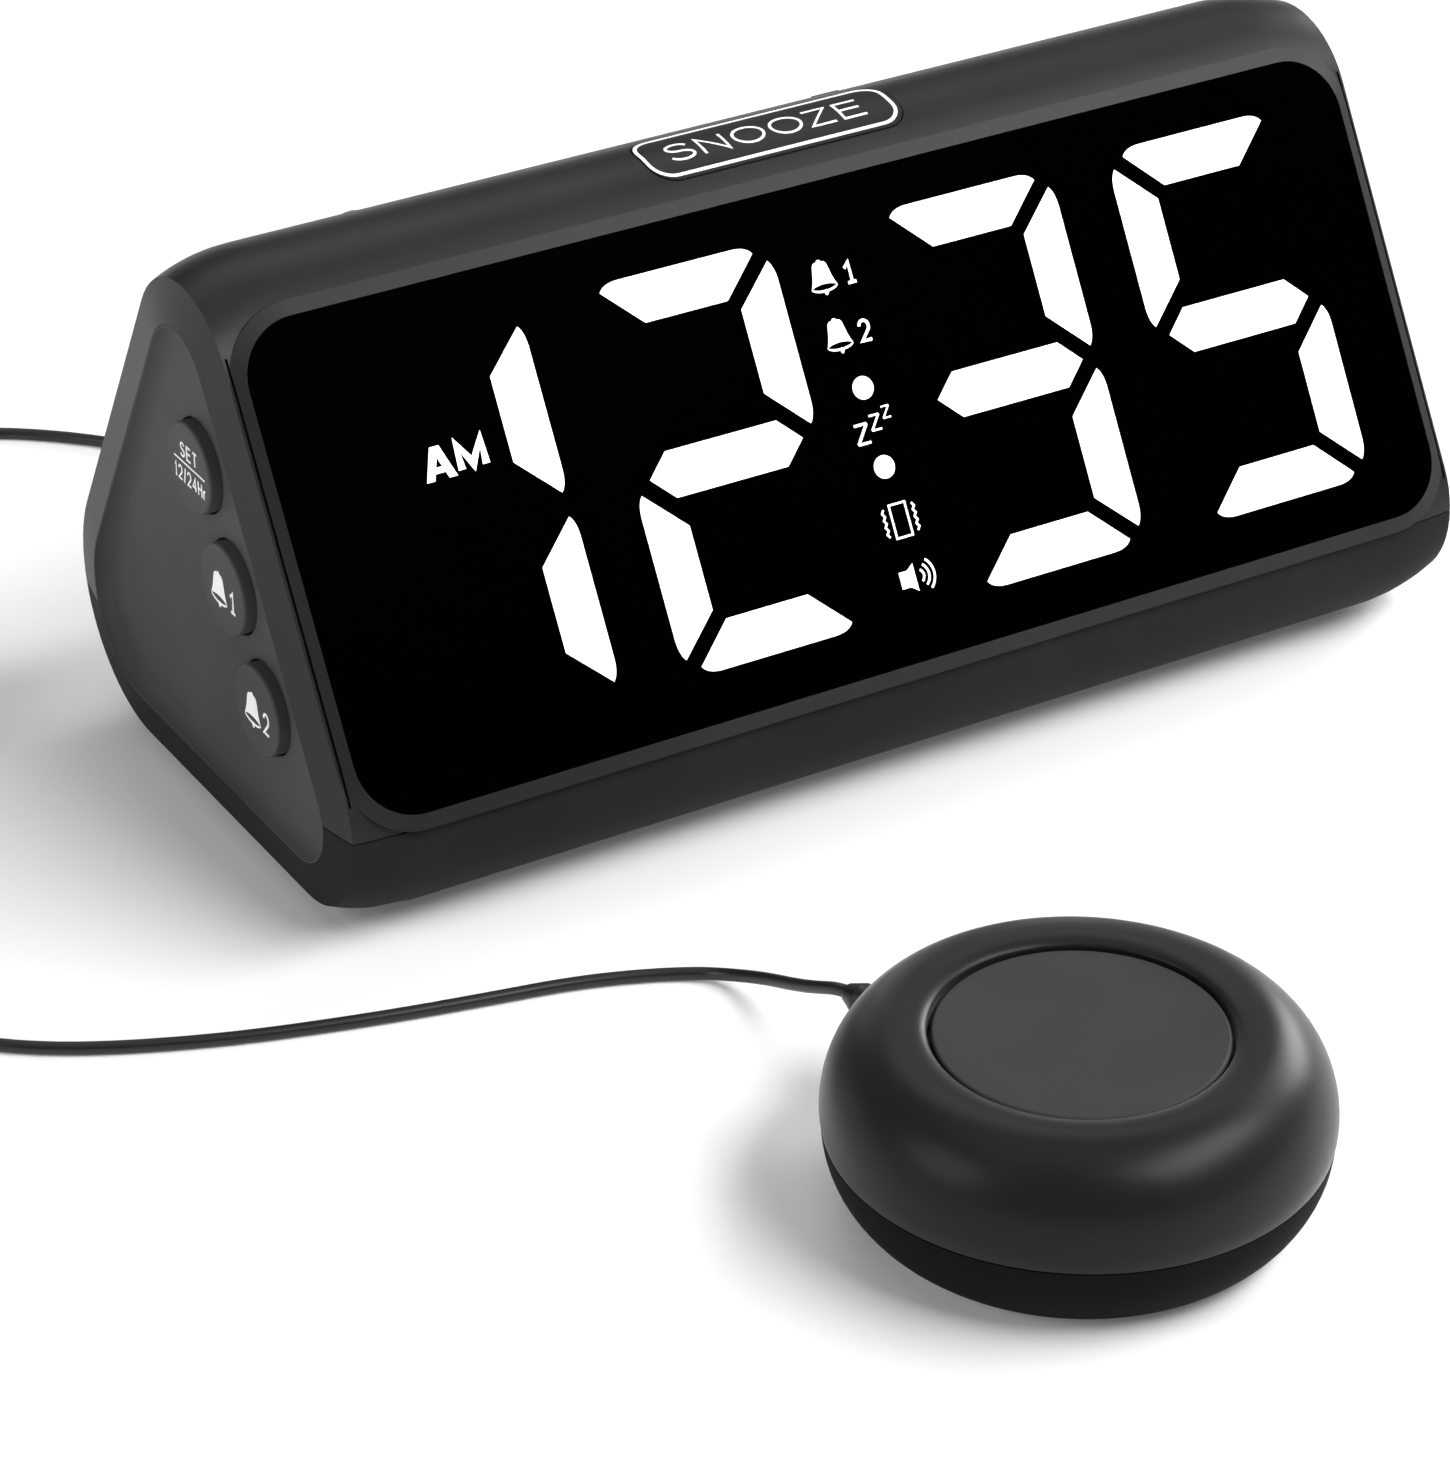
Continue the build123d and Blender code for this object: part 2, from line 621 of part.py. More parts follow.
with BuildPart() as digit_diffusers:
    extrude(digit_segments(0), amount=-DIFFUSER_T)
digit_diffusers.part.label = "digit_diffusers"
export_step(digit_diffusers.part, "parts/digit_diffusers.step")

with BuildPart() as display_board:
    with BuildSketch(LENS_PLANE.offset(-board_front)):
        Rectangle(display_w, display_h)
        Rectangle(display_w + 2 * DISPLAY_TAB_W, DISPLAY_TAB_H)
        with DISPLAY_POSTS:
            Circle(SMALL_SCREW_DIA / 2 + SNUG, mode=Mode.SUBTRACT)
    extrude(amount=-BOARD_T)
display_board.part.label = "display_board"
export_step(display_board.part, "parts/display_board.step")

with BuildPart() as display_leds:
    bar_x = DIGIT_W / 2 - SEGMENT_W / 2
    bar_v = DIGIT_H / 2 - SEGMENT_W / 2
    with BuildSketch(LENS_PLANE.offset(-board_front)):
        for digit in DIGIT_X:
            with Locations((digit, 0)):
                with GridLocations(1, bar_v, 1, 3):
                    Rectangle(LED_SIZE, LED_SIZE)
                with GridLocations(2 * bar_x, bar_v, 2, 2):
                    Rectangle(LED_SIZE, LED_SIZE)
        with GridLocations(1, 2 * COLON_V, 1, 2):
            Rectangle(LED_SIZE, LED_SIZE)
    extrude(amount=LED_H)
display_leds.part.label = "display_leds"
export_step(display_leds.part, "parts/display_leds.step")

with BuildPart() as display_screws:
    with BuildSketch(LENS_PLANE.offset(-board_back)):
        with DISPLAY_POSTS:
            Circle(SMALL_SCREW_DIA / 2)
    extrude(amount=BOARD_T + SMALL_BITE)
    with BuildSketch(LENS_PLANE.offset(-board_back)):
        with DISPLAY_POSTS:
            Circle(SMALL_HEAD_DIA / 2)
    extrude(amount=-SMALL_HEAD_H)
display_screws.part.label = "display_screws"
export_step(display_screws.part, "parts/display_screws.step")

# Main board on its posts, with its larger components and screws
with BuildPart() as main_board:
    with BuildSketch(Plane.XY.offset(MAIN_BOARD_Z)):
        Rectangle(MAIN_BOARD_X, MAIN_BOARD_Y)
        with POST_PLACES:
            Circle(SMALL_SCREW_DIA / 2 + SNUG, mode=Mode.SUBTRACT)
    extrude(amount=BOARD_T)
main_board.part.label = "main_board"
export_step(main_board.part, "parts/main_board.step")

with BuildPart() as board_components:
    top = Plane.XY.offset(MAIN_BOARD_Z + BOARD_T)
    with BuildSketch(top):
        Rectangle(CHIP_SIZE, CHIP_SIZE)
        with Locations(*DRIVER_PLACES):
            Rectangle(DRIVER_L, DRIVER_W)
        with Locations(*CONNECTOR_PLACES):
            Rectangle(CONNECTOR_L, CONNECTOR_W)
    extrude(amount=CHIP_H)
    with BuildSketch(top):
        with Locations(*CAPACITOR_PLACES):
            Circle(CAPACITOR_DIA / 2)
    extrude(amount=CAPACITOR_H)
board_components.part.label = "board_components"
export_step(board_components.part, "parts/board_components.step")

with BuildPart() as board_screws:
    with BuildSketch(Plane.XY.offset(MAIN_BOARD_Z + BOARD_T)):
        with POST_PLACES:
            Circle(SMALL_SCREW_DIA / 2)
    extrude(amount=-BOARD_T - SMALL_BITE)
    with BuildSketch(Plane.XY.offset(MAIN_BOARD_Z + BOARD_T)):
        with POST_PLACES:
            Circle(SMALL_HEAD_DIA / 2)
    extrude(amount=SMALL_HEAD_H)
board_screws.part.label = "board_screws"
export_step(board_screws.part, "parts/board_screws.step")

# End panels, buttons, switch boards and switches, the same at both ends
BUTTON_NAMES = {-1: ("set", "alarm_one", "alarm_two"), 1: ("up", "down", "dimmer")}
SIDE_NAMES = {-1: "left", 1: "right"}
panel_back = PANEL_X - PANEL_T
flange_outer = panel_back - FIT
flange_inner = flange_outer - BUTTON_FLANGE_T
stem_x = flange_inner - BUTTON_TRAVEL - FIT
switch_board_x = stem_x - TACT_STEM_H - TACT_H
switch_board_v = 2 * BUTTON_PITCH + TACT_SIZE + 2 * SWITCH_BOARD_MARGIN
switch_board_depth = board_back + SMALL_HEAD_H + FIT + SWITCH_BOARD_D / 2
post_depth = switch_board_depth + SWITCH_BOARD_D / 2 - PANEL_POST_DIA

for side in (-1, 1):
    button_places = [(BUTTON_DEPTH, side * (BUTTON_V + row * BUTTON_PITCH)) for row in (1, 0, -1)]
    post_places = [(post_depth, side * (BUTTON_V + row * PANEL_POST_V / 2)) for row in (1, -1)]

    with BuildPart() as end_panel:
        panel_outline = case_face(side * panel_back, END_SCALE, RING_WIDTH + SNUG)
        extrude(panel_outline, amount=side * (PANEL_T + dish_depth))
        loft(dish_stations(side), mode=Mode.SUBTRACT)
        with BuildSketch(end_plane(side, panel_back)):
            with Locations(*button_places):
                Circle(BUTTON_DIA / 2 + FIT)
        extrude(amount=PANEL_T, mode=Mode.SUBTRACT)
        with BuildSketch(end_plane(side, panel_back)):
            with Locations(*post_places):
                Circle(PANEL_POST_DIA / 2)
        extrude(amount=-(panel_back - switch_board_x))
    end_panel.part.label = f"{SIDE_NAMES[side]}_end_panel"
    export_step(end_panel.part, f"parts/{SIDE_NAMES[side]}_end_panel.step")

    for place, name in zip(button_places, BUTTON_NAMES[side]):
        with BuildPart() as button:
            with BuildSketch(end_plane(side, flange_inner)):
                with Locations(place):
                    Circle(BUTTON_DIA / 2 + BUTTON_FLANGE)
            extrude(amount=BUTTON_FLANGE_T)
            with BuildSketch(end_plane(side, flange_outer)):
                with Locations(place):
                    Circle(BUTTON_DIA / 2)
            extrude(amount=PANEL_X + BUTTON_PROUD - flange_outer)
            face = button.faces().sort_by(Axis.X)[-1 if side > 0 else 0]
            fillet(face.edges(), BUTTON_EDGE)
        button.part.label = f"{name}_button"
        export_step(button.part, f"parts/{name}_button.step")

    with BuildPart() as switch_board:
        with BuildSketch(end_plane(side, switch_board_x)):
            with Locations((switch_board_depth, side * BUTTON_V)):
                Rectangle(SWITCH_BOARD_D, switch_board_v)
        extrude(amount=-SWITCH_BOARD_T)
    switch_board.part.label = f"{SIDE_NAMES[side]}_switch_board"
    export_step(switch_board.part, f"parts/{SIDE_NAMES[side]}_switch_board.step")

    with BuildPart() as tact_switches:
        with BuildSketch(end_plane(side, switch_board_x)):
            with Locations(*button_places):
                Rectangle(TACT_SIZE, TACT_SIZE)
        extrude(amount=TACT_H)
        with BuildSketch(end_plane(side, switch_board_x + TACT_H)):
            with Locations(*button_places):
                Circle(TACT_STEM_DIA / 2)
        extrude(amount=TACT_STEM_H)
    tact_switches.part.label = f"{SIDE_NAMES[side]}_tact_switches"
    export_step(tact_switches.part, f"parts/{SIDE_NAMES[side]}_tact_switches.step")

# Snooze bar: its top follows the ridge, and a flange under the shell keeps it in
with BuildPart() as snooze_button:
    with BuildSketch(ridge_plane(0, -SNOOZE_LEAN, snooze_flange_low)):
        RectangleRounded(SNOOZE_L, SNOOZE_W, SNOOZE_R)
    extrude(amount=TOP_R)
    with BuildPart(mode=Mode.PRIVATE) as ridge_round:
        with BuildSketch(Plane.YZ.offset(-SNOOZE_L)):
            with Locations((top_corner.Y, top_corner.Z)):
                Circle(TOP_R + SNOOZE_PROUD)
        extrude(amount=2 * SNOOZE_L)
    add(ridge_round.part, mode=Mode.INTERSECT)
    with BuildSketch(ridge_plane(0, -SNOOZE_LEAN, snooze_flange_low)):
        flange_r = SNOOZE_R + SNOOZE_FLANGE
        RectangleRounded(SNOOZE_L + 2 * SNOOZE_FLANGE, SNOOZE_W + 2 * SNOOZE_FLANGE, flange_r)
    extrude(amount=SNOOZE_FLANGE_T)
snooze_button.part.label = "snooze_button"
export_step(snooze_button.part, "parts/snooze_button.step")

with BuildPart() as snooze_board:
    with BuildSketch(ridge_plane(0, -SNOOZE_LEAN, snooze_board_top)):
        Rectangle(2 * snooze_rib_x + RIB_T, RIB_W)
    extrude(amount=-SWITCH_BOARD_T)
snooze_board.part.label = "snooze_board"
export_step(snooze_board.part, "parts/snooze_board.step")

with BuildPart() as snooze_switch:
    with BuildSketch(ridge_plane(0, -SNOOZE_LEAN, snooze_board_top)):
        Rectangle(TACT_SIZE, TACT_SIZE)
    extrude(amount=TACT_H)
    with BuildSketch(ridge_plane(0, -SNOOZE_LEAN, snooze_board_top + TACT_H)):
        Circle(TACT_STEM_DIA / 2)
    extrude(amount=TACT_STEM_H)
snooze_switch.part.label = "snooze_switch"
export_step(snooze_switch.part, "parts/snooze_switch.step")

# Mode slider and the switch under it
with BuildPart() as mode_slider:
    with BuildSketch(ridge_plane(SLIDER_X, SLIDER_LEAN, slider_flange_top)):
        Rectangle(SLIDER_L, SLIDER_W)
    extrude(amount=TOP_R + SLIDER_PROUD - slider_flange_top)
    slider_top = mode_slider.faces().sort_by(Axis(top_corner, ridge_plane(0, SLIDER_LEAN, 0).z_dir))[-1]
    fillet(slider_top.edges(), SLIDER_W / 4)
    with BuildSketch(ridge_plane(SLIDER_X, SLIDER_LEAN, slider_flange_top)):
        Rectangle(SLIDER_L + 2 * SLIDER_FLANGE, SLIDER_W + 2 * SLIDER_FLANGE)
    extrude(amount=-SLIDER_FLANGE_T)
mode_slider.part.label = "mode_slider"
export_step(mode_slider.part, "parts/mode_slider.step")

with BuildPart() as slide_switch:
    with BuildSketch(ridge_plane(SLIDER_X, SLIDER_LEAN, slider_plate_top)):
        Rectangle(2 * slider_rib_x + RIB_T, SLIDER_W + 2 * SLIDER_FLANGE)
    extrude(amount=-SWITCH_BOARD_T)
    with BuildSketch(ridge_plane(SLIDER_X, SLIDER_LEAN, slider_plate_top)):
        Rectangle(SLIDE_SWITCH_L, SLIDER_W + SLIDER_FLANGE)
    extrude(amount=SLIDE_SWITCH_H)
slide_switch.part.label = "slide_switch"
export_step(slide_switch.part, "parts/slide_switch.step")

# Speaker behind the grille: heights are measured inwards from the outside of the back wall
speaker_plane = Plane(BACK_PLANE.origin + Vector(SPEAKER_X, 0, 0), x_dir=(-1, 0, 0), z_dir=BACK)
rim_low = WALL + SPEAKER_FLANGE_T
basket_low = rim_low + SPEAKER_BASKET_H
rim_inner = SPEAKER_DIA / 2 - SPEAKER_RIM

with BuildPart() as speaker_frame:
    with BuildSketch(speaker_plane.offset(-WALL)):
        Circle(SPEAKER_DIA / 2)
        Circle(rim_inner, mode=Mode.SUBTRACT)
    extrude(amount=-SPEAKER_FLANGE_T)
    with BuildSketch(speaker_plane.offset(-rim_low), mode=Mode.PRIVATE) as basket_mouth:
        Circle(rim_inner + SPEAKER_RIM / 2)
    with BuildSketch(speaker_plane.offset(-basket_low), mode=Mode.PRIVATE) as basket_floor:
        Circle(MAGNET_DIA / 2)
    loft([basket_mouth.sketch, basket_floor.sketch], ruled=True)
    with BuildSketch(speaker_plane.offset(-rim_low), mode=Mode.PRIVATE) as room_mouth:
        Circle(rim_inner)
    with BuildSketch(speaker_plane.offset(-basket_low), mode=Mode.PRIVATE) as room_floor:
        Circle(MAGNET_DIA / 2 - SPEAKER_RIM / 2)
    loft([room_mouth.sketch, room_floor.sketch], ruled=True, mode=Mode.SUBTRACT)
speaker_frame.part.label = "speaker_frame"
export_step(speaker_frame.part, "parts/speaker_frame.step")

with BuildPart() as speaker_cone:
    cone_low = basket_low - SPEAKER_FLANGE_T
    with BuildSketch(speaker_plane.offset(-rim_low), mode=Mode.PRIVATE) as cone_mouth:
        Circle(rim_inner - SNUG)
    with BuildSketch(speaker_plane.offset(-cone_low), mode=Mode.PRIVATE) as cone_floor:
        Circle(MAGNET_DIA / 4)
    loft([cone_mouth.sketch, cone_floor.sketch], ruled=True)
    with BuildSketch(speaker_plane.offset(-rim_low + CONE_T), mode=Mode.PRIVATE) as inside_mouth:
        Circle(rim_inner - SNUG)
    with BuildSketch(speaker_plane.offset(-cone_low + CONE_T), mode=Mode.PRIVATE) as inside_floor:
        Circle(MAGNET_DIA / 4)
    loft([inside_mouth.sketch, inside_floor.sketch], ruled=True, mode=Mode.SUBTRACT)
speaker_cone.part.label = "speaker_cone"
export_step(speaker_cone.part, "parts/speaker_cone.step")

with BuildPart() as speaker_magnet:
    with BuildSketch(speaker_plane.offset(-basket_low)):
        Circle(MAGNET_DIA / 2)
    extrude(amount=-MAGNET_H)
speaker_magnet.part.label = "speaker_magnet"
export_step(speaker_magnet.part, "parts/speaker_magnet.step")

# DC inlet and shaker jack, against the inside of the back wall
with BuildPart() as dc_jack:
    with BuildSketch(BACK_PLANE.offset(-WALL)):
        with Locations((-DC_X, SOCKET_V)):
            Rectangle(DC_BODY, DC_BODY)
            Circle(DC_BORE / 2, mode=Mode.SUBTRACT)
    extrude(amount=-DC_BODY_L)
    with BuildSketch(BACK_PLANE.offset(-WALL - DC_BODY_L)):
        with Locations((-DC_X, SOCKET_V)):
            Rectangle(DC_BODY, DC_BODY)
    extrude(amount=DC_PIN)
    with BuildSketch(BACK_PLANE.offset(-WALL - DC_BODY_L)):
        with Locations((-DC_X, SOCKET_V)):
            Circle(DC_PIN / 2)
    extrude(amount=DC_BODY_L)
dc_jack.part.label = "dc_jack"
export_step(dc_jack.part, "parts/dc_jack.step")

with BuildPart() as shaker_jack:
    with BuildSketch(BACK_PLANE.offset(-WALL)):
        with Locations((-JACK_X, SOCKET_V)):
            Rectangle(JACK_BODY, JACK_BODY)
            Circle(JACK_BORE / 2, mode=Mode.SUBTRACT)
    extrude(amount=-JACK_BODY_L)
shaker_jack.part.label = "shaker_jack"
export_step(shaker_jack.part, "parts/shaker_jack.step")

# Backup cell, its contact plate and the dovetail door under it
with BuildPart() as battery_door:
    extrude(door_section(0), amount=-CASE_DEPTH)
    add(CASE_BLOCK, mode=Mode.INTERSECT)
battery_door.part.label = "battery_door"
export_step(battery_door.part, "parts/battery_door.step")

with BuildPart() as backup_cell:
    with BuildSketch(Plane.XY.offset(cell_low)):
        with Locations((DOOR_X, CELL_Y)):
            Circle(CELL_DIA / 2)
    extrude(amount=CELL_T)
    fillet(backup_cell.edges().group_by(Axis.Z)[0], FIT)
backup_cell.part.label = "backup_cell"
export_step(backup_cell.part, "parts/backup_cell.step")

with BuildPart() as cell_contact:
    with BuildSketch(Plane.XY.offset(cell_top)):
        with Locations((DOOR_X, CELL_Y)):
            Circle(CONTACT_DIA / 2)
    extrude(amount=CONTACT_T)
cell_contact.part.label = "cell_contact"
export_step(cell_contact.part, "parts/cell_contact.step")

# Bed shaker, turned about its own upright axis
SHAKER = Plane(origin=(SHAKER_X, SHAKER_Y, 0))
SHAKER_SIDE = Plane(origin=(SHAKER_X, SHAKER_Y, 0), x_dir=(1, 0, 0), z_dir=(0, -1, 0))
SHAKER_AXIS = Axis((SHAKER_X, SHAKER_Y, 0), (0, 0, 1))
disc_top = SHAKER_CREST_Z - DISC_SUNK
disc_low = disc_top - DISC_T
well_r = DISC_R + DISC_GROOVE
crown_w = SHAKER_R - SHAKER_CREST_R
crown_h = SHAKER_CREST_Z - SHAKER_WIDE_Z
shaker_floor = SHAKER_LIFT + SHAKER_WALL
SHAKER_BOSSES = PolarLocations(SHAKER_BOSS_R, 3, start_angle=SHAKER_BOSS_TURN)
relief_way = Vector(cos(radians(RELIEF_TURN)), sin(radians(RELIEF_TURN)), 0)
relief_root = Vector(SHAKER_X, SHAKER_Y, RELIEF_Z) + relief_way * (SHAKER_R - SHAKER_WALL)
RELIEF_PLANE = Plane(origin=relief_root, x_dir=(0, 0, 1), z_dir=relief_way)

with BuildPart() as shaker_top_shell:
    with BuildSketch(SHAKER_SIDE):
        with BuildLine():
            TangentArc((SHAKER_R, SHAKER_WIDE_Z), (SHAKER_SEAM_R, SHAKER_SEAM_Z + SEAM), tangent=(0, -1))
            EllipticalCenterArc((SHAKER_CREST_R, SHAKER_WIDE_Z), crown_w, crown_h, arc_size=90)
            EllipticalCenterArc(
                (SHAKER_CREST_R, disc_top), SHAKER_CREST_R - well_r, DISC_SUNK, start_angle=90, arc_size=90
            )
            Line((well_r, disc_top), (well_r, disc_low))
            Line((well_r, disc_low), (well_r - DISC_LEDGE, disc_low))
            Line((well_r - DISC_LEDGE, disc_low), (well_r - DISC_LEDGE, disc_low - SHAKER_WALL))
            Line((well_r - DISC_LEDGE, disc_low - SHAKER_WALL), (SHAKER_CREST_R, disc_low - SHAKER_WALL))
            EllipticalCenterArc(
                (SHAKER_CREST_R, SHAKER_WIDE_Z),
                crown_w - SHAKER_WALL,
                disc_low - SHAKER_WALL - SHAKER_WIDE_Z,
                arc_size=90,
            )
            Line((SHAKER_R - SHAKER_WALL, SHAKER_WIDE_Z), (SHAKER_SEAM_R - SHAKER_WALL, SHAKER_SEAM_Z + SEAM))
            Line((SHAKER_SEAM_R - SHAKER_WALL, SHAKER_SEAM_Z + SEAM), (SHAKER_SEAM_R, SHAKER_SEAM_Z + SEAM))
        make_face()
    revolve(axis=SHAKER_AXIS)
    with BuildSketch(SHAKER.offset(SHAKER_BOSS_Z + SEAM)):
        with SHAKER_BOSSES:
            Circle(BOSS_DIA / 2)
    extrude(amount=disc_low - SHAKER_WALL / 2 - SHAKER_BOSS_Z - SEAM)
    with BuildSketch(SHAKER.offset(SHAKER_BOSS_Z + SEAM)):
        with SHAKER_BOSSES:
            Circle(SCREW_DIA / 2 + SNUG)
    extrude(amount=SCREW_BITE, mode=Mode.SUBTRACT)
    with BuildSketch(RELIEF_PLANE.offset(-SHAKER_WALL)):
        Circle(RELIEF_DIA / 2 + SNUG)
    extrude(amount=4 * SHAKER_WALL, mode=Mode.SUBTRACT)
shaker_top_shell.part.label = "shaker_top_shell"
export_step(shaker_top_shell.part, "parts/shaker_top_shell.step")

with BuildPart() as shaker_base:
    with BuildSketch(SHAKER_SIDE):
        with BuildLine():
            Line((0, SHAKER_LIFT), (SHAKER_FOOT_R, SHAKER_LIFT))
            ThreePointArc(
                (SHAKER_FOOT_R, SHAKER_LIFT), (SHAKER_BELLY_R, SHAKER_BELLY_Z), (SHAKER_SEAM_R, SHAKER_SEAM_Z)
            )
            Line((SHAKER_SEAM_R, SHAKER_SEAM_Z), (SHAKER_SEAM_R - SHAKER_WALL, SHAKER_SEAM_Z))
            Line((SHAKER_SEAM_R - SHAKER_WALL, SHAKER_SEAM_Z), (SHAKER_BELLY_R - SHAKER_WALL, SHAKER_BELLY_Z))
            Line((SHAKER_BELLY_R - SHAKER_WALL, SHAKER_BELLY_Z), (SHAKER_FOOT_R, shaker_floor))
            Line((SHAKER_FOOT_R, shaker_floor), (0, shaker_floor))
            Line((0, shaker_floor), (0, SHAKER_LIFT))
        make_face()
    revolve(axis=SHAKER_AXIS)
    with BuildSketch(SHAKER.offset(SHAKER_LIFT)):
        with SHAKER_BOSSES:
            Circle(COLUMN_DIA / 2)
    extrude(amount=SHAKER_BOSS_Z - SHAKER_LIFT)
    with BuildSketch(SHAKER.offset(SHAKER_LIFT)):
        with SHAKER_BOSSES:
            Circle(SCREW_DIA / 2 + SNUG)
    extrude(amount=SHAKER_BOSS_Z, mode=Mode.SUBTRACT)
    with BuildSketch(SHAKER):
        with SHAKER_BOSSES:
            Circle(SCREW_HEAD_DIA / 2 + SNUG)
    extrude(amount=SHAKER_LIFT + SHAKER_PAD_SUNK + SCREW_HEAD_H + FIT, mode=Mode.SUBTRACT)
    with BuildSketch(SHAKER):
        Circle(SHAKER_PAD_R + SNUG)
        Circle(SHAKER_PAD_R - SHAKER_PAD_W - SNUG, mode=Mode.SUBTRACT)
    extrude(amount=SHAKER_LIFT + SHAKER_PAD_SUNK, mode=Mode.SUBTRACT)
    with BuildSketch(RELIEF_PLANE.offset(-SHAKER_WALL)):
        Circle(RELIEF_DIA / 2 + SNUG)
    extrude(amount=4 * SHAKER_WALL, mode=Mode.SUBTRACT)
shaker_base.part.label = "shaker_base"
export_step(shaker_base.part, "parts/shaker_base.step")

# Motor saddle on the shaker's floor, the clamp over the motor, and the motor with its turning weight
motor_face_x = SHAKER_X + MOTOR_SHIFT + MOTOR_L / 2
clamp_x = SHAKER_X + MOTOR_SHIFT
clamp_half = MOTOR_DIA / 2 + SNUG + CLAMP_T
saddle_top = MOTOR_AXIS_Z - CLAMP_RISE
CLAMP_PLANE = Plane(origin=(clamp_x - CLAMP_L / 2, SHAKER_Y, 0), x_dir=(0, 1, 0), z_dir=(1, 0, 0))
CLAMP_SCREWS = [(clamp_x, SHAKER_Y + way * (clamp_half + CLAMP_FOOT / 2)) for way in (-1, 1)]

with BuildPart() as motor_saddle:
    with BuildSketch(CLAMP_PLANE):
        with Locations((0, shaker_floor)):
            saddle_w = 2 * (clamp_half + CLAMP_FOOT)
            Rectangle(saddle_w, saddle_top - shaker_floor, align=(Align.CENTER, Align.MIN))
        with Locations((0, MOTOR_AXIS_Z)):
            Circle(MOTOR_DIA / 2 + SNUG, mode=Mode.SUBTRACT)
    extrude(amount=CLAMP_L)
    with BuildSketch(Plane.XY.offset(saddle_top)):
        with Locations(*CLAMP_SCREWS):
            Circle(SMALL_SCREW_DIA / 2 + SNUG)
    extrude(amount=-SMALL_BITE - SNUG, mode=Mode.SUBTRACT)
motor_saddle.part.label = "motor_saddle"
export_step(motor_saddle.part, "parts/motor_saddle.step")

with BuildPart() as motor_clamp:
    with BuildSketch(CLAMP_PLANE):
        with Locations((0, MOTOR_AXIS_Z)):
            Circle(clamp_half)
        with Locations((0, saddle_top)):
            Rectangle(2 * clamp_half, CLAMP_RISE, align=(Align.CENTER, Align.MIN))
            Rectangle(2 * (clamp_half + CLAMP_FOOT), CLAMP_T, align=(Align.CENTER, Align.MIN))
            Rectangle(2 * clamp_half, 2 * MOTOR_DIA, align=(Align.CENTER, Align.MAX), mode=Mode.SUBTRACT)
        with Locations((0, MOTOR_AXIS_Z)):
            Circle(MOTOR_DIA / 2 + SNUG, mode=Mode.SUBTRACT)
        with Locations((0, saddle_top)):
            Rectangle(MOTOR_DIA + 2 * SNUG, CLAMP_RISE, align=(Align.CENTER, Align.MIN), mode=Mode.SUBTRACT)
    extrude(amount=CLAMP_L)
    with BuildSketch(Plane.XY.offset(saddle_top)):
        with Locations(*CLAMP_SCREWS):
            Circle(SMALL_SCREW_DIA / 2 + SNUG)
    extrude(amount=CLAMP_T, mode=Mode.SUBTRACT)
motor_clamp.part.label = "motor_clamp"
export_step(motor_clamp.part, "parts/motor_clamp.step")

with BuildPart() as clamp_screws:
    with BuildSketch(Plane.XY.offset(saddle_top + CLAMP_T)):
        with Locations(*CLAMP_SCREWS):
            Circle(SMALL_SCREW_DIA / 2)
    extrude(amount=-CLAMP_T - SMALL_BITE)
    with BuildSketch(Plane.XY.offset(saddle_top + CLAMP_T)):
        with Locations(*CLAMP_SCREWS):
            Circle(SMALL_HEAD_DIA / 2)
    extrude(amount=SMALL_HEAD_H)
clamp_screws.part.label = "clamp_screws"
export_step(clamp_screws.part, "parts/clamp_screws.step")

MOTOR_PLANE = Plane(origin=(motor_face_x, SHAKER_Y, MOTOR_AXIS_Z), x_dir=(0, 1, 0), z_dir=(1, 0, 0))

with BuildPart() as shaker_motor:
    with BuildSketch(MOTOR_PLANE):
        Circle(MOTOR_DIA / 2)
    extrude(amount=-MOTOR_L)
    fillet(shaker_motor.edges(), BUTTON_EDGE)
    with BuildSketch(MOTOR_PLANE):
        Circle(SHAFT_DIA / 2 + SNUG)
    extrude(amount=-SHAFT_SUNK - SNUG, mode=Mode.SUBTRACT)
shaker_motor.part.label = "shaker_motor"
export_step(shaker_motor.part, "parts/shaker_motor.step")

with BuildPart() as motor_shaft:
    with BuildSketch(MOTOR_PLANE.offset(-SHAFT_SUNK)):
        Circle(SHAFT_DIA / 2)
    extrude(amount=SHAFT_SUNK + WEIGHT_GAP + WEIGHT_L + SHAFT_DIA)
motor_shaft.part.label = "motor_shaft"
export_step(motor_shaft.part, "parts/motor_shaft.step")

with BuildPart() as eccentric_weight:
    with BuildSketch(MOTOR_PLANE.offset(WEIGHT_GAP)):
        Circle(WEIGHT_R)
        Rectangle(2 * WEIGHT_R, WEIGHT_R, align=(Align.CENTER, Align.MIN), mode=Mode.SUBTRACT)
        Circle(1.5 * SHAFT_DIA)
        Circle(SHAFT_DIA / 2, mode=Mode.SUBTRACT)
    extrude(amount=WEIGHT_L)
eccentric_weight.part.label = "eccentric_weight"
export_step(eccentric_weight.part, "parts/eccentric_weight.step")

# Disc in the shaker's top, its foot ring and its screws
with BuildPart() as shaker_disc:
    with BuildSketch(SHAKER.offset(disc_low)):
        Circle(DISC_R)
    extrude(amount=DISC_T)
    fillet(shaker_disc.edges().group_by(Axis.Z)[-1], DISC_GROOVE)
shaker_disc.part.label = "shaker_disc"
export_step(shaker_disc.part, "parts/shaker_disc.step")

with BuildPart() as shaker_foot_ring:
    with BuildSketch(SHAKER):
        Circle(SHAKER_PAD_R)
        Circle(SHAKER_PAD_R - SHAKER_PAD_W, mode=Mode.SUBTRACT)
    extrude(amount=SHAKER_LIFT + SHAKER_PAD_SUNK)
shaker_foot_ring.part.label = "shaker_foot_ring"
export_step(shaker_foot_ring.part, "parts/shaker_foot_ring.step")

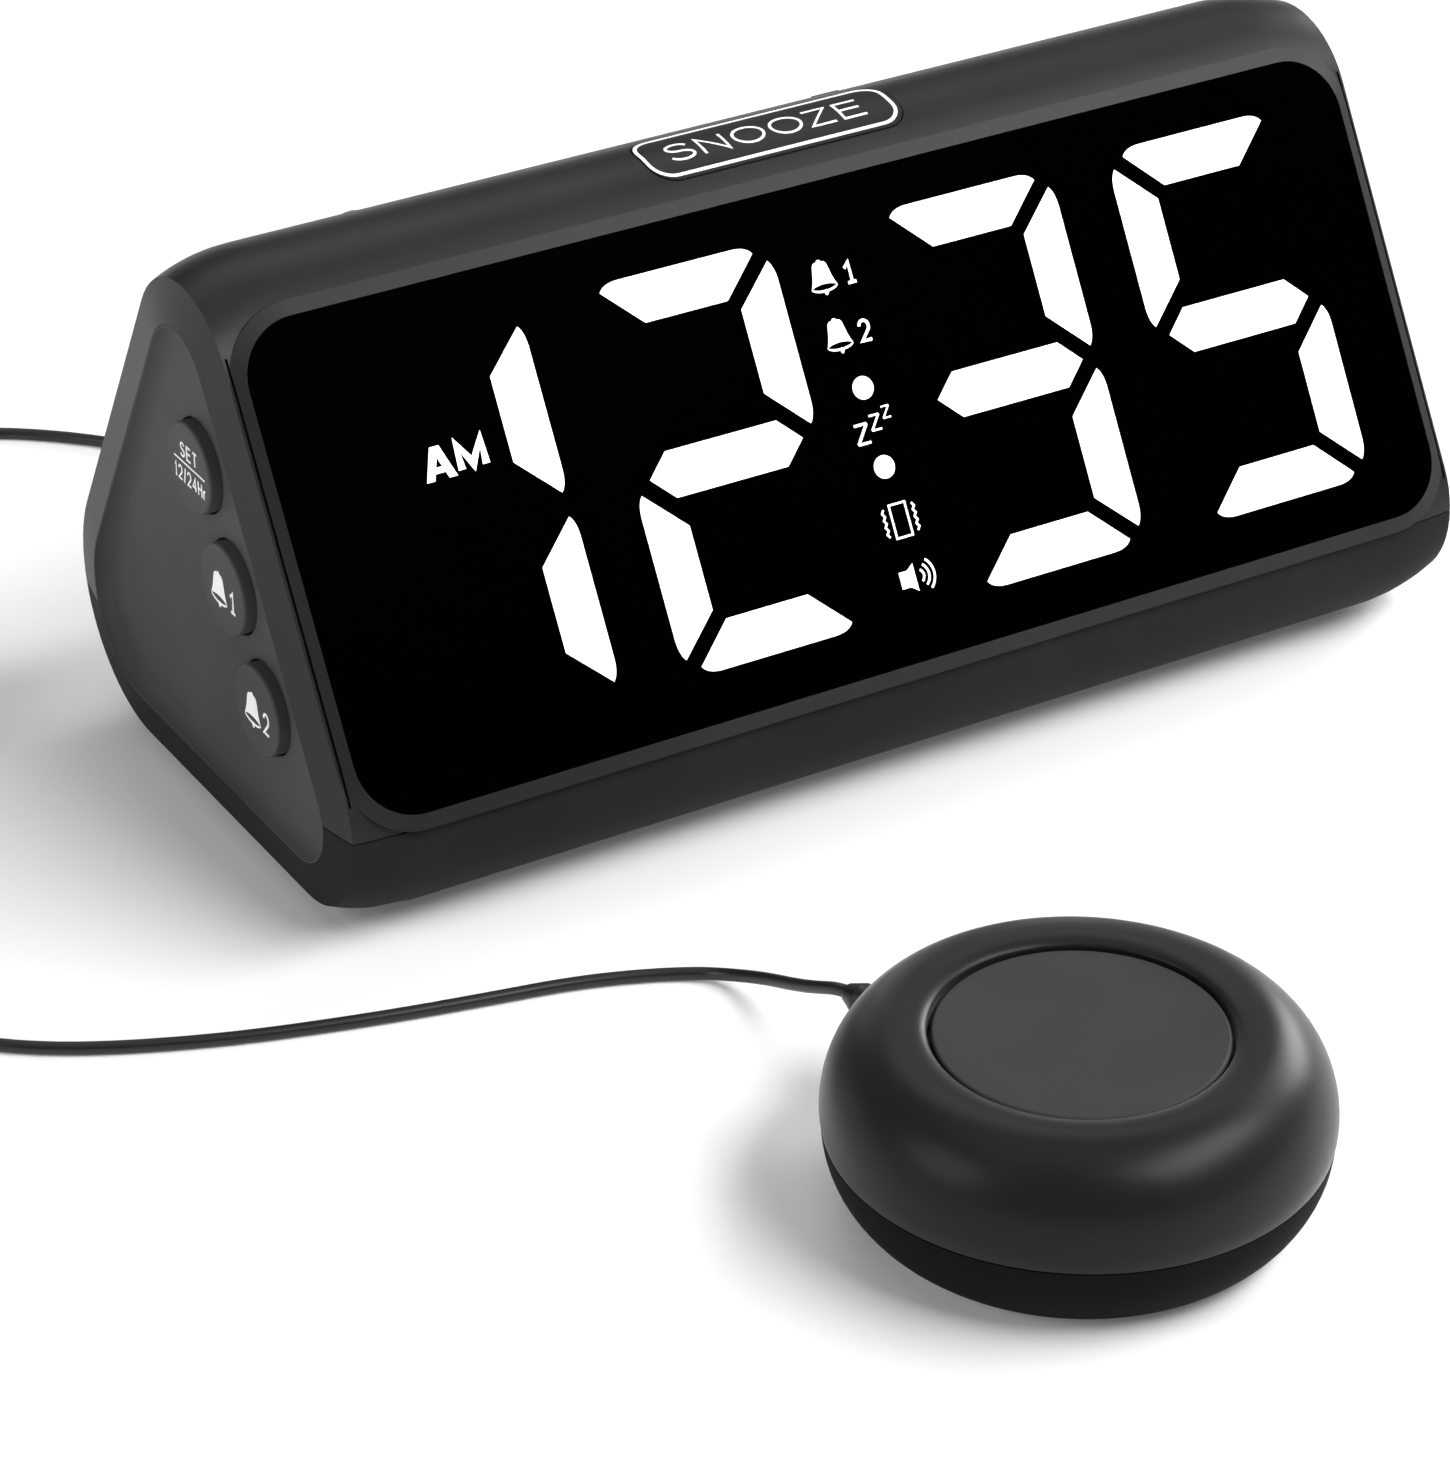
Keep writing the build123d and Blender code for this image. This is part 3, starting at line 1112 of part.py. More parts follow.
with BuildPart() as shaker_screws:
    head_top = SHAKER_LIFT + SHAKER_PAD_SUNK + SCREW_HEAD_H + FIT
    with BuildSketch(SHAKER.offset(head_top)):
        with SHAKER_BOSSES:
            Circle(SCREW_DIA / 2)
    extrude(amount=SHAKER_BOSS_Z + SEAM + SCREW_BITE - SNUG - head_top)
    with BuildSketch(SHAKER.offset(head_top)):
        with SHAKER_BOSSES:
            Circle(SCREW_HEAD_DIA / 2)
    extrude(amount=-SCREW_HEAD_H)
shaker_screws.part.label = "shaker_screws"
export_step(shaker_screws.part, "parts/shaker_screws.step")

# Strain relief through the shaker's wall, with a collar that tapers down to the lead
relief_out = SHAKER_WALL + RELIEF_L

with BuildPart() as strain_relief:
    with BuildSketch(RELIEF_PLANE.offset(-SHAKER_WALL / 2)):
        Circle(RELIEF_DIA / 2)
    extrude(amount=1.5 * SHAKER_WALL + RELIEF_BLOCK_L)
    with BuildSketch(RELIEF_PLANE.offset(SHAKER_WALL + RELIEF_BLOCK_L), mode=Mode.PRIVATE) as taper_root:
        Circle(RELIEF_DIA / 2)
    with BuildSketch(RELIEF_PLANE.offset(relief_out), mode=Mode.PRIVATE) as taper_tip:
        Circle(RELIEF_TIP_DIA / 2)
    loft([taper_root.sketch, taper_tip.sketch], ruled=True)
strain_relief.part.label = "strain_relief"
export_step(strain_relief.part, "parts/strain_relief.step")

# Plug in the clock's jack
jack_mouth = BACK_PLANE.from_local_coords(Vector(-JACK_X, SOCKET_V, 0))
PLUG_PLANE = Plane(origin=jack_mouth - BACK * WALL, x_dir=(-1, 0, 0), z_dir=BACK)

with BuildPart() as shaker_plug:
    with BuildSketch(PLUG_PLANE):
        Circle(PLUG_DIA / 2)
    extrude(amount=PLUG_L)
    fillet(shaker_plug.edges().sort_by(Axis(jack_mouth, BACK))[-1], PLUG_DIA / 6)
    with BuildSketch(PLUG_PLANE):
        Circle(PLUG_PIN_DIA / 2)
    extrude(amount=-PLUG_PIN_L)
    with BuildSketch(PLUG_PLANE.offset(PLUG_L), mode=Mode.PRIVATE) as tail_root:
        Circle(PLUG_TAIL_DIA / 2)
    with BuildSketch(PLUG_PLANE.offset(PLUG_L + PLUG_TAIL_L), mode=Mode.PRIVATE) as tail_tip:
        Circle(RELIEF_TIP_DIA / 2)
    loft([tail_root.sketch, tail_tip.sketch], ruled=True)
shaker_plug.part.label = "shaker_plug"
export_step(shaker_plug.part, "parts/shaker_plug.step")


def coil_point(turns):
    """Where the coil's middle line is, so many turns in from its outer end, piled layer on layer."""
    angle = pi - 2 * pi * turns
    radius, height, way = COIL_OUTER_R, COIL_LIFT + LEAD_DIA / 2, -1
    for layer, loops in enumerate(COIL_LOOPS):
        wound = min(turns, loops)
        radius += way * COIL_PITCH * wound
        turns -= wound
        if turns <= 0 or layer == len(COIL_LOOPS) - 1:
            break
        climbed = min(turns / COIL_CLIMB, 1)
        height += COIL_PITCH * (climbed - sin(2 * pi * climbed) / (2 * pi))
        turns -= climbed * COIL_CLIMB
        way = -way
    return Vector(COIL_X + radius * cos(angle), COIL_Y + radius * sin(angle), height)


def coil_way(turns):
    """The direction of the coil's middle line."""
    return (coil_point(turns + 0.01) - coil_point(turns - 0.01)).normalized()


def loose_radii(points):
    """The largest bend that the two runs at each inner point leave room for."""
    radii = []
    for before, here, after in zip(points, points[1:], points[2:]):
        turn = radians((here - before).get_angle(after - here))
        radii.append(0.45 * min((here - before).length, (after - here).length) / tan(turn / 2))
    return radii


def report_tube(name, tube, path):
    """Print a tube's length, and its volume beside that of its section drawn along its path."""
    plain = pi * LEAD_DIA**2 / 4 * path.length
    print(f"{name}: length {path.length:.1f} mm, volume {tube.volume:.1f} of {plain:.1f} cubic mm")


coil_turns = sum(COIL_LOOPS) + COIL_CLIMB * (len(COIL_LOOPS) - 1)
coil_start = coil_point(0)
coil_end = coil_point(coil_turns)
coil_start_way = (coil_point(0.01) - coil_start).normalized()
coil_end_way = (coil_end - coil_point(coil_turns - 0.01)).normalized()
relief_tip = relief_root + relief_way * relief_out
plug_tip = PLUG_PLANE.origin + BACK * (PLUG_L + PLUG_TAIL_L)

# The shaker's stretch runs from the strain relief along the table to the coil
SHAKER_ROUTE = [
    relief_tip,
    relief_tip + relief_way * RELIEF_EXIT,
    Vector(-48.3, -92.3, 10.3),
    Vector(-48.7, -87.6, 7.7),
    Vector(-49.0, -79.7, 4.1),
    Vector(-50.8, -73.6, 1.8),
    Vector(-53.4, -70.2, 1.0),
    Vector(-59.5, -66.9, 0.9),
    Vector(-69.1, -63.4, 0.9),
    Vector(-80.6, -61.0, 0.9),
    Vector(-92.2, -58.4, 0.9),
    Vector(-103.4, -55.4, 0.9),
    Vector(-114.7, -51.9, 0.9),
    Vector(-126.4, -47.1, 0.9),
    Vector(-135.3, -42.4, 0.9),
    Vector(-142.6, -36.9, 0.9),
    Vector(-149.3, -29.2, 0.9),
    Vector(-153.4, -19.4, 0.9),
    Vector(-154.6, -8.0, 0.9),
    Vector(-152.8, 4.0, 0.9),
    Vector(-149.2, 15.4, 0.9),
    Vector(-145.4, 25.6, 1.3),
    coil_start - coil_start_way * (LEAD_DIA + LEAD_EXIT),
    coil_start - coil_start_way * LEAD_DIA,
]

# The clock's stretch comes down off the coil and runs behind the clock to its plug
CLOCK_ROUTE = [
    coil_end + coil_end_way * LEAD_DIA,
    coil_end + coil_end_way * (LEAD_DIA + LEAD_EXIT),
    Vector(-141.0, 66.0, 8.0),
    Vector(-138.6, 77.0, 4.8),
    Vector(-134.0, 88.0, 2.2),
    Vector(-127.4, 98.6, 1.0),
    Vector(-119.0, 108.6, 0.9),
    Vector(-109.2, 117.4, 0.9),
    Vector(-98.8, 123.8, 0.9),
    Vector(-88.6, 126.4, 0.9),
    Vector(-79.2, 125.2, 0.9),
    Vector(-70.4, 120.8, 0.9),
    Vector(-63.2, 115.3, 0.9),
    Vector(-57.0, 109.2, 0.9),
    Vector(-51.4, 102.2, 1.0),
    Vector(-46.6, 94.8, 3.2),
    Vector(-42.4, 88.6, 9.6),
    Vector(-39.2, 84.2, 18.6),
    Vector(-36.6, 81.2, 29.4),
    Vector(-34.6, 77.8, 40.2),
    Vector(-33.0, 71.8, 50.0),
    plug_tip + BACK * LEAD_EXIT,
    plug_tip,
]

for name, route in (("lead_shaker_side", SHAKER_ROUTE), ("lead_clock_side", CLOCK_ROUTE)):
    radii = loose_radii(route)
    print(name, "bend radii", [round(radius, 1) for radius in radii])
    with BuildPart() as lead:
        with BuildLine() as lead_path:
            FilletPolyline(*route, radius=radii)
        with BuildSketch(Plane(origin=lead_path.wire() @ 0, z_dir=lead_path.wire() % 0)):
            Circle(LEAD_DIA / 2)
        sweep(path=lead_path.wire())
    report_tube(name, lead.part, lead_path.wire())
    lead.part.label = name
    export_step(lead.part, f"parts/{name}.step")

# Coil of the put-away length: one tube wound on quarter turns, each of two tangent arcs
with BuildPart() as lead_coil:
    with BuildLine() as coil_path:
        Line(coil_start - coil_start_way * LEAD_DIA, coil_start)
        quarters = round(4 * coil_turns)
        ways = [coil_start_way] + [coil_way(q / 4) for q in range(1, quarters)] + [coil_end_way]
        for q in range(quarters):
            here, there = coil_point(q / 4), coil_point((q + 1) / 4)
            way, next_way = ways[q], ways[q + 1]
            span = there - here
            along = span.dot(way + next_way)
            spread = 2 * (1 - way.dot(next_way))
            reach = ((along**2 + spread * span.dot(span)) ** 0.5 - along) / spread
            middle = (here + there + (way - next_way) * reach) * 0.5
            TangentArc(here, middle, tangent=way)
            TangentArc(middle, there, tangent=there - next_way * reach - here - way * reach)
        Line(coil_end, coil_end + coil_end_way * LEAD_DIA)
    with BuildSketch(Plane(origin=coil_path.wire() @ 0, z_dir=coil_path.wire() % 0)):
        Circle(LEAD_DIA / 2)
    sweep(path=coil_path.wire())
report_tube("lead_coil", lead_coil.part, coil_path.wire())
coil_points = [coil_point(step / 72) for step in range(round(72 * coil_turns) + 1)]
least_gap = min(
    (coil_points[i] - coil_points[j]).length
    for i in range(len(coil_points))
    for j in range(i + 36, len(coil_points))
)
print(f"lead_coil: least gap between turns {least_gap - LEAD_DIA:.2f} mm")
lead_coil.part.label = "lead_coil"
export_step(lead_coil.part, "parts/lead_coil.step")

# Tie round one side of the coil
coil_inner_r = COIL_OUTER_R - COIL_PITCH * max(COIL_LOOPS)
coil_height = COIL_PITCH * (len(COIL_LOOPS) - 1) + LEAD_DIA
tie_inner = (coil_inner_r**2 - TIE_W**2 / 4) ** 0.5 - LEAD_DIA / 2 - FIT
tie_outer = COIL_OUTER_R + LEAD_DIA / 2 + FIT
tie_low = COIL_LIFT - TIE_GAP
tie_high = COIL_LIFT + coil_height + FIT

with BuildPart() as coil_tie:
    with BuildSketch(Plane(origin=(COIL_X, COIL_Y - TIE_W / 2, 0), x_dir=(1, 0, 0), z_dir=(0, -1, 0))):
        with BuildLine():
            Polyline(
                (tie_inner - TIE_T, tie_low - TIE_T),
                (tie_outer + TIE_T, tie_low - TIE_T),
                (tie_outer + TIE_T, tie_high + TIE_T),
                (tie_inner - TIE_T, tie_high + TIE_T),
                close=True,
            )
        make_face()
        with BuildLine():
            Polyline(
                (tie_inner, tie_low),
                (tie_outer, tie_low),
                (tie_outer, tie_high),
                (tie_inner, tie_high),
                close=True,
            )
        make_face(mode=Mode.SUBTRACT)
    extrude(amount=-TIE_W)
coil_tie.part.label = "coil_tie"
export_step(coil_tie.part, "parts/coil_tie.step")
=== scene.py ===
"""Looks of the bed shaker alarm clock: camera, lead, materials, lit display, print, floor and light."""

from math import cos, pi, radians, sin

import bmesh
import bpy
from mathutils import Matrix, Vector


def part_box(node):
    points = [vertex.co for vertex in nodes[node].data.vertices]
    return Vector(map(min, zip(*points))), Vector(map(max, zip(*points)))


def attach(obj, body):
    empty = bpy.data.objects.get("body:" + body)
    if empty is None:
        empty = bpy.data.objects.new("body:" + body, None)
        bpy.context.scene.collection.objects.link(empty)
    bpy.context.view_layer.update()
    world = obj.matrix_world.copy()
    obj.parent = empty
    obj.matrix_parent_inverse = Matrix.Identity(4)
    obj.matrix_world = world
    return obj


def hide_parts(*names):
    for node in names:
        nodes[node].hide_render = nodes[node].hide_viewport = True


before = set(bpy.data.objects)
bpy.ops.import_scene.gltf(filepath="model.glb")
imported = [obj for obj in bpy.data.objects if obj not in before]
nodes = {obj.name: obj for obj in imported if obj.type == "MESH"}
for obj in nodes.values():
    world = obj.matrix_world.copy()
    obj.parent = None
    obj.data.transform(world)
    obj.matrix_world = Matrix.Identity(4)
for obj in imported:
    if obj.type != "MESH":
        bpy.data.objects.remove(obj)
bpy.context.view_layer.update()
MM = 0.001

# Directions and lines of the case, in millimetres, as in the CAD model
TILT = radians(31.0)
ALONG = Vector((1, 0, 0))
OUT = Vector((0, -cos(TILT), sin(TILT)))
UP = Vector((0, sin(TILT), cos(TILT)))
RIDGE_Y = 3.209
RIDGE_Z = 68.8
RIDGE_R = 15.7
SNOOZE_PROUD = 0.1
PRINT_T = 0.04
PRINT_LIFT = 0.01


def link(name, data):
    """A new object in the scene."""
    made = bpy.data.objects.new(name, data)
    bpy.context.scene.collection.objects.link(made)
    return made


# Camera at the photograph's viewpoint
CAMERA_PLACE = Vector((-361.5, -595.66, 404.66))
CAMERA_TURN = radians(-30.70)
CAMERA_RISE = radians(30.96)
lens_data = bpy.data.cameras.new("photo_camera")
lens_data.sensor_width = 36.0
lens_data.lens = 134.07
lens_data.clip_start = 0.02
camera = link("photo_camera", lens_data)
camera.location = CAMERA_PLACE * MM
camera.rotation_euler = (pi / 2 - CAMERA_RISE, 0, CAMERA_TURN)
bpy.context.scene.camera = camera
bpy.context.scene.view_settings.view_transform = "Standard"

# The shaker's lead: one cord, from its strain relief along the table, through the coil, to its plug
LEAD_DIA = 1.8
COIL_X = -127.0
COIL_Y = 46.0
COIL_OUTER_R = 15.6
COIL_PITCH = 2.6
COIL_LOOPS = (4, 4, 4, 3.5)
COIL_CLIMB = 0.5
COIL_LIFT = 0.75
COIL_STEPS = 16
RELIEF_TIP = (-47.168, -97.749, 11.6)
SHAKER_ROUTE = [
    RELIEF_TIP,
    (-47.689, -95.612, 11.2),
    (-48.3, -92.3, 9.6),
    (-48.7, -87.6, 7.4),
    (-49.0, -79.7, 4.1),
    (-50.8, -73.6, 1.8),
    (-53.4, -70.2, 1.0),
    (-59.5, -66.9, 0.9),
    (-69.1, -63.4, 0.9),
    (-80.6, -61.0, 0.9),
    (-92.2, -58.4, 0.9),
    (-103.4, -55.4, 0.9),
    (-114.7, -51.9, 0.9),
    (-126.4, -47.1, 0.9),
    (-135.3, -42.4, 0.9),
    (-142.6, -36.9, 0.9),
    (-149.3, -29.2, 0.9),
    (-153.4, -19.4, 0.9),
    (-154.6, -8.0, 0.9),
    (-152.8, 4.0, 0.9),
    (-149.2, 15.4, 0.9),
    (-145.4, 25.6, 1.3),
]
CLOCK_ROUTE = [
    (-141.0, 66.0, 8.0),
    (-138.6, 77.0, 4.8),
    (-134.0, 88.0, 2.2),
    (-127.4, 98.6, 1.0),
    (-119.0, 108.6, 0.9),
    (-109.2, 117.4, 0.9),
    (-98.8, 123.8, 0.9),
    (-88.6, 126.4, 0.9),
    (-79.2, 125.2, 0.9),
    (-70.4, 120.8, 0.9),
    (-63.2, 115.3, 0.9),
    (-57.0, 109.2, 0.9),
    (-51.4, 102.2, 1.0),
    (-46.6, 94.8, 3.2),
    (-42.4, 88.6, 9.6),
    (-39.2, 84.2, 18.6),
    (-36.6, 81.2, 29.4),
    (-34.6, 77.8, 40.2),
    (-33.0, 71.8, 50.0),
    (-32.0, 59.340, 54.926),
    (-32.0, 53.223, 51.522),
]


def coil_point(turns):
    """Where the coil's middle line is, so many turns in from its outer end, piled layer on layer."""
    angle = pi - 2 * pi * turns
    radius, height, way = COIL_OUTER_R, COIL_LIFT + LEAD_DIA / 2, -1
    for layer, loops in enumerate(COIL_LOOPS):
        wound = min(turns, loops)
        radius += way * COIL_PITCH * wound
        turns -= wound
        if turns <= 0 or layer == len(COIL_LOOPS) - 1:
            break
        climbed = min(turns / COIL_CLIMB, 1)
        height += COIL_PITCH * (climbed - sin(2 * pi * climbed) / (2 * pi))
        turns -= climbed * COIL_CLIMB
        way = -way
    return COIL_X + radius * cos(angle), COIL_Y + radius * sin(angle), height


coil_turns = sum(COIL_LOOPS) + COIL_CLIMB * (len(COIL_LOOPS) - 1)
coil_points = [coil_point(step / COIL_STEPS) for step in range(round(COIL_STEPS * coil_turns) + 1)]
lead_points = SHAKER_ROUTE + coil_points + CLOCK_ROUTE
lead_curve = bpy.data.curves.new("shaker_lead", "CURVE")
lead_curve.dimensions = "3D"
lead_curve.bevel_depth = 1.0
lead_curve.bevel_resolution = 5
lead_curve.resolution_u = 6
lead_line = lead_curve.splines.new("NURBS")
lead_line.points.add(len(lead_points) - 1)
for knot, place in zip(lead_line.points, lead_points):
    knot.co = (*(Vector(place) * MM), 1)
    knot.radius = LEAD_DIA / 2 * MM
lead_line.order_u = 3
lead_line.use_endpoint_u = True
shaker_lead = link("shaker_lead", lead_curve)
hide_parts("lead_shaker_side", "lead_coil", "lead_clock_side")
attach(shaker_lead, "clock")


# Materials, with the grain's depth in millimetres
SHEEN_ROUGH = 0.35
GRAIN_DEPTH = 0.03
GRAIN_DETAIL = 3.0
DRIFT_SCALE = 45.0
DRIFT_DETAIL = 4.0
DRIFT_SPAN = (0.3, 0.7)


def surface(
    name, colour, rough, metal=0.0, gloss=0.5, grain=0.35, bump=0.2, drift=0.12, sway=0.08, sheen=0.0
):
    """A moulded or plain surface: fine grain in bump and roughness, and a slow drift of colour."""
    made = bpy.data.materials.new(name)
    made.use_nodes = True
    tree = made.node_tree
    shader = tree.nodes["Principled BSDF"]
    shader.inputs["Metallic"].default_value = metal
    shader.inputs["Specular IOR Level"].default_value = gloss
    shader.inputs["Sheen Weight"].default_value = sheen
    shader.inputs["Sheen Roughness"].default_value = SHEEN_ROUGH
    place = tree.nodes.new("ShaderNodeTexCoord")
    fine = tree.nodes.new("ShaderNodeTexNoise")
    fine.inputs["Scale"].default_value = 1 / (grain * MM)
    fine.inputs["Detail"].default_value = GRAIN_DETAIL
    tree.links.new(place.outputs["Object"], fine.inputs["Vector"])
    relief = tree.nodes.new("ShaderNodeBump")
    relief.inputs["Strength"].default_value = bump
    relief.inputs["Distance"].default_value = GRAIN_DEPTH * MM
    tree.links.new(fine.outputs["Fac"], relief.inputs["Height"])
    tree.links.new(relief.outputs["Normal"], shader.inputs["Normal"])
    slow = tree.nodes.new("ShaderNodeTexNoise")
    slow.inputs["Scale"].default_value = DRIFT_SCALE
    slow.inputs["Detail"].default_value = DRIFT_DETAIL
    tree.links.new(place.outputs["Object"], slow.inputs["Vector"])
    shades = tree.nodes.new("ShaderNodeValToRGB")
    for stop, spot, level in zip(shades.color_ramp.elements, DRIFT_SPAN, (1 - drift, 1 + drift)):
        stop.position = spot
        stop.color = (*(min(1, c * level) for c in colour), 1)
    tree.links.new(slow.outputs["Fac"], shades.inputs["Fac"])
    tree.links.new(shades.outputs["Color"], shader.inputs["Base Color"])
    dull = tree.nodes.new("ShaderNodeMapRange")
    dull.inputs["To Min"].default_value = rough - sway
    dull.inputs["To Max"].default_value = rough + sway
    tree.links.new(fine.outputs["Fac"], dull.inputs["Value"])
    tree.links.new(dull.outputs["Result"], shader.inputs["Roughness"])
    return made


def lit(name, colour, strength):
    """A white surface with light of its own: full for the lit display; for the print it is a faint painted
    glow, as print gives off no light.
    """
    made = surface(name, colour, 0.6, grain=0.5, bump=0.05, drift=0.02)
    shader = made.node_tree.nodes["Principled BSDF"]
    shader.inputs["Emission Color"].default_value = (*colour, 1)
    shader.inputs["Emission Strength"].default_value = strength
    return made


# The end panels and buttons are a lighter grey than the case as painted light, standing in for light on
# the shaded left end; they are the same plastic as the ring.
PANEL_GREY_PAINTED_LIGHT = (0.08571, 0.08571, 0.08657)
SHAKER_GREY = (0.01357, 0.01357, 0.01386)
# The shaker's base is a darker grey than its top shell as painted shade, for its dark underside by the
# floor.
SHAKER_BASE_PAINTED_SHADE_GREY = (0.008571, 0.008571, 0.008714)
case_plastic = surface("case_plastic", (0.01786, 0.01786, 0.01829), 0.42, gloss=0.214, grain=0.3, bump=0.2)
base_plastic = surface("base_plastic", (0.02, 0.02, 0.02043), 0.6, gloss=0.0571, grain=0.3, bump=0.25)
panel_plastic = surface("panel_plastic", PANEL_GREY_PAINTED_LIGHT, 0.55, gloss=0.0857, grain=0.25, bump=0.2)
button_plastic = surface("button_plastic", PANEL_GREY_PAINTED_LIGHT, 0.5, gloss=0.0857, grain=0.2, bump=0.15)
shaker_plastic = surface(
    "shaker_plastic", SHAKER_GREY, 0.36, gloss=0.143, grain=0.25, bump=0.1, sheen=0.2
)
shaker_base_plastic = surface(
    "shaker_base_plastic", SHAKER_BASE_PAINTED_SHADE_GREY, 0.6, gloss=0.0286, grain=0.25, bump=0.1
)
disc_plastic = surface("disc_plastic", (0.04143, 0.04143, 0.04186), 0.5, gloss=0.0857, grain=0.2, bump=0.2)
lens_black = surface(
    "lens_black", (0.0002, 0.0002, 0.0002), 0.12, gloss=0.03, grain=2.0, bump=0.0, sway=0.02
)
reflector_white = surface("reflector_white", (0.8, 0.8, 0.8), 0.6, grain=0.5)
board_green = surface("board_green", (0.02857, 0.1571, 0.07143), 0.35, grain=0.8, drift=0.2)
component_black = surface("component_black", (0.02143, 0.02143, 0.02143), 0.5, grain=0.3)
rubber_black = surface("rubber_black", (0.01714, 0.01714, 0.01714), 0.75, gloss=0.3, grain=0.4, bump=0.35)
sheath_black = surface("sheath_black", (0.01143, 0.01143, 0.01143), 0.38, gloss=0.45, grain=0.5, bump=0.1)
screw_steel = surface("screw_steel", (0.55, 0.55, 0.56), 0.32, metal=1.0, grain=0.15, bump=0.2)
contact_brass = surface("contact_brass", (0.72, 0.55, 0.25), 0.3, metal=1.0, grain=0.2, bump=0.1)
magnet_black = surface("magnet_black", (0.05714, 0.05714, 0.06), 0.45, metal=0.6, grain=0.2)
cone_paper = surface("cone_paper", (0.02857, 0.02857, 0.02857), 0.85, grain=0.5, bump=0.5)
DISPLAY_STRENGTH = 1.0
# The print's faint glow is painted light: printed ink gives off no light of its own.
PRINT_PAINTED_GLOW = 0.25
digit_light = lit("digit_light", (1.0, 1.0, 1.0), DISPLAY_STRENGTH)
print_white_painted_glow = lit("print_white_painted_glow", (0.9, 0.9, 0.9), PRINT_PAINTED_GLOW)

FINISHES = {
    case_plastic: ["upper_shell", "snooze_button", "mode_slider"],
    base_plastic: ["base_cover", "battery_door"],
    shaker_base_plastic: ["shaker_base"],
    panel_plastic: ["left_end_panel", "right_end_panel"],
    button_plastic: [
        "set_button",
        "alarm_one_button",
        "alarm_two_button",
        "up_button",
        "down_button",
        "dimmer_button",
    ],
    shaker_plastic: ["shaker_top_shell"],
    disc_plastic: ["shaker_disc"],
    lens_black: ["display_lens"],
    reflector_white: ["display_reflector", "digit_diffusers", "display_leds"],
    board_green: [
        "display_board",
        "main_board",
        "left_switch_board",
        "right_switch_board",
        "snooze_board",
    ],
    component_black: [
        "board_components",
        "left_tact_switches",
        "right_tact_switches",
        "snooze_switch",
        "slide_switch",
        "dc_jack",
        "shaker_jack",
        "speaker_frame",
        "motor_saddle",
        "coil_tie",
    ],
    rubber_black: ["feet", "shaker_foot_ring"],
    sheath_black: ["strain_relief", "shaker_plug"],
    screw_steel: [
        "case_screws",
        "display_screws",
        "board_screws",
        "shaker_screws",
        "clamp_screws",
        "backup_cell",
        "shaker_motor",
        "motor_shaft",
        "eccentric_weight",
        "motor_clamp",
    ],
    contact_brass: ["cell_contact"],
    magnet_black: ["speaker_magnet"],
    cone_paper: ["speaker_cone"],
}
for finish, names in FINISHES.items():
    for name in names:
        nodes[name].data.materials.clear()
        nodes[name].data.materials.append(finish)
lead_curve.materials.append(sheath_black)


# Flat shapes, in millimetres: each is a list of outlines
def bend(start, corner, end, steps=6):
    """Points of a curve from start to end that is drawn towards a corner."""
    points = []
    for step in range(steps + 1):
        t = step / steps
        shares = ((1 - t) ** 2, 2 * t * (1 - t), t**2)
        points.append(tuple(sum(s * p[i] for s, p in zip(shares, (start, corner, end))) for i in (0, 1)))
    return points


def round_arc(x, y, rx, ry, first, last, steps=24):
    """Points of an arc between two angles in degrees."""
    turns = [radians(first + (last - first) * step / steps) for step in range(steps + 1)]
    return [(x + rx * cos(turn), y + ry * sin(turn)) for turn in turns]


def disc(x, y, r):
    """A round dot."""
    return [round_arc(x, y, r, r, 0, 360)[:-1]]


def stroke(points, width, closed=False):
    """A line of even width along some points, as a chain of four-sided outlines."""
    count = len(points)
    sides = []
    for i, here in enumerate(points):
        before = points[i - 1] if i > 0 or closed else here
        after = points[(i + 1) % count] if i < count - 1 or closed else here
        ways = []
        for a, b in ((before, here), (here, after)):
            length = ((b[0] - a[0]) ** 2 + (b[1] - a[1]) ** 2) ** 0.5
            if length > 1e-9:
                ways.append(((b[0] - a[0]) / length, (b[1] - a[1]) / length))
        x = sum(way[0] for way in ways)
        y = sum(way[1] for way in ways)
        size = (x * x + y * y) ** 0.5
        normal = (-y / size, x / size)
        reach = width / 2 / max(0.5, abs(normal[0] * -ways[0][1] + normal[1] * ways[0][0]))
        sides.append(
            (
                (here[0] + normal[0] * reach, here[1] + normal[1] * reach),
                (here[0] - normal[0] * reach, here[1] - normal[1] * reach),
            )
        )
    ends = sides[1:] + sides[:1] if closed else sides[1:]
    return [[a[0], a[1], b[1], b[0]] for a, b in zip(sides, ends)]


def moved(shapes, x, y):
    """Shapes moved sideways and up."""
    return [[(x + px, y + py) for px, py in outline] for outline in shapes]


def mirrored(outline):
    """An outline mirrored left to right."""
    return [(-x, y) for x, y in reversed(outline)]


def upside_down(outline):
    """An outline mirrored top to bottom."""
    return [(x, -y) for x, y in reversed(outline)]


ROUND = round_arc(0.5, 0.5, 0.5, 0.5, 0, 360, 32)
UPPER_S = round_arc(0.5, 0.755, 0.44, 0.245, 18, 270, 16)
LOWER_S = round_arc(0.5, 0.255, 0.5, 0.255, 90, -162, 16)
NARROW = 0.55
NARROW_SIGNS = "1/r"
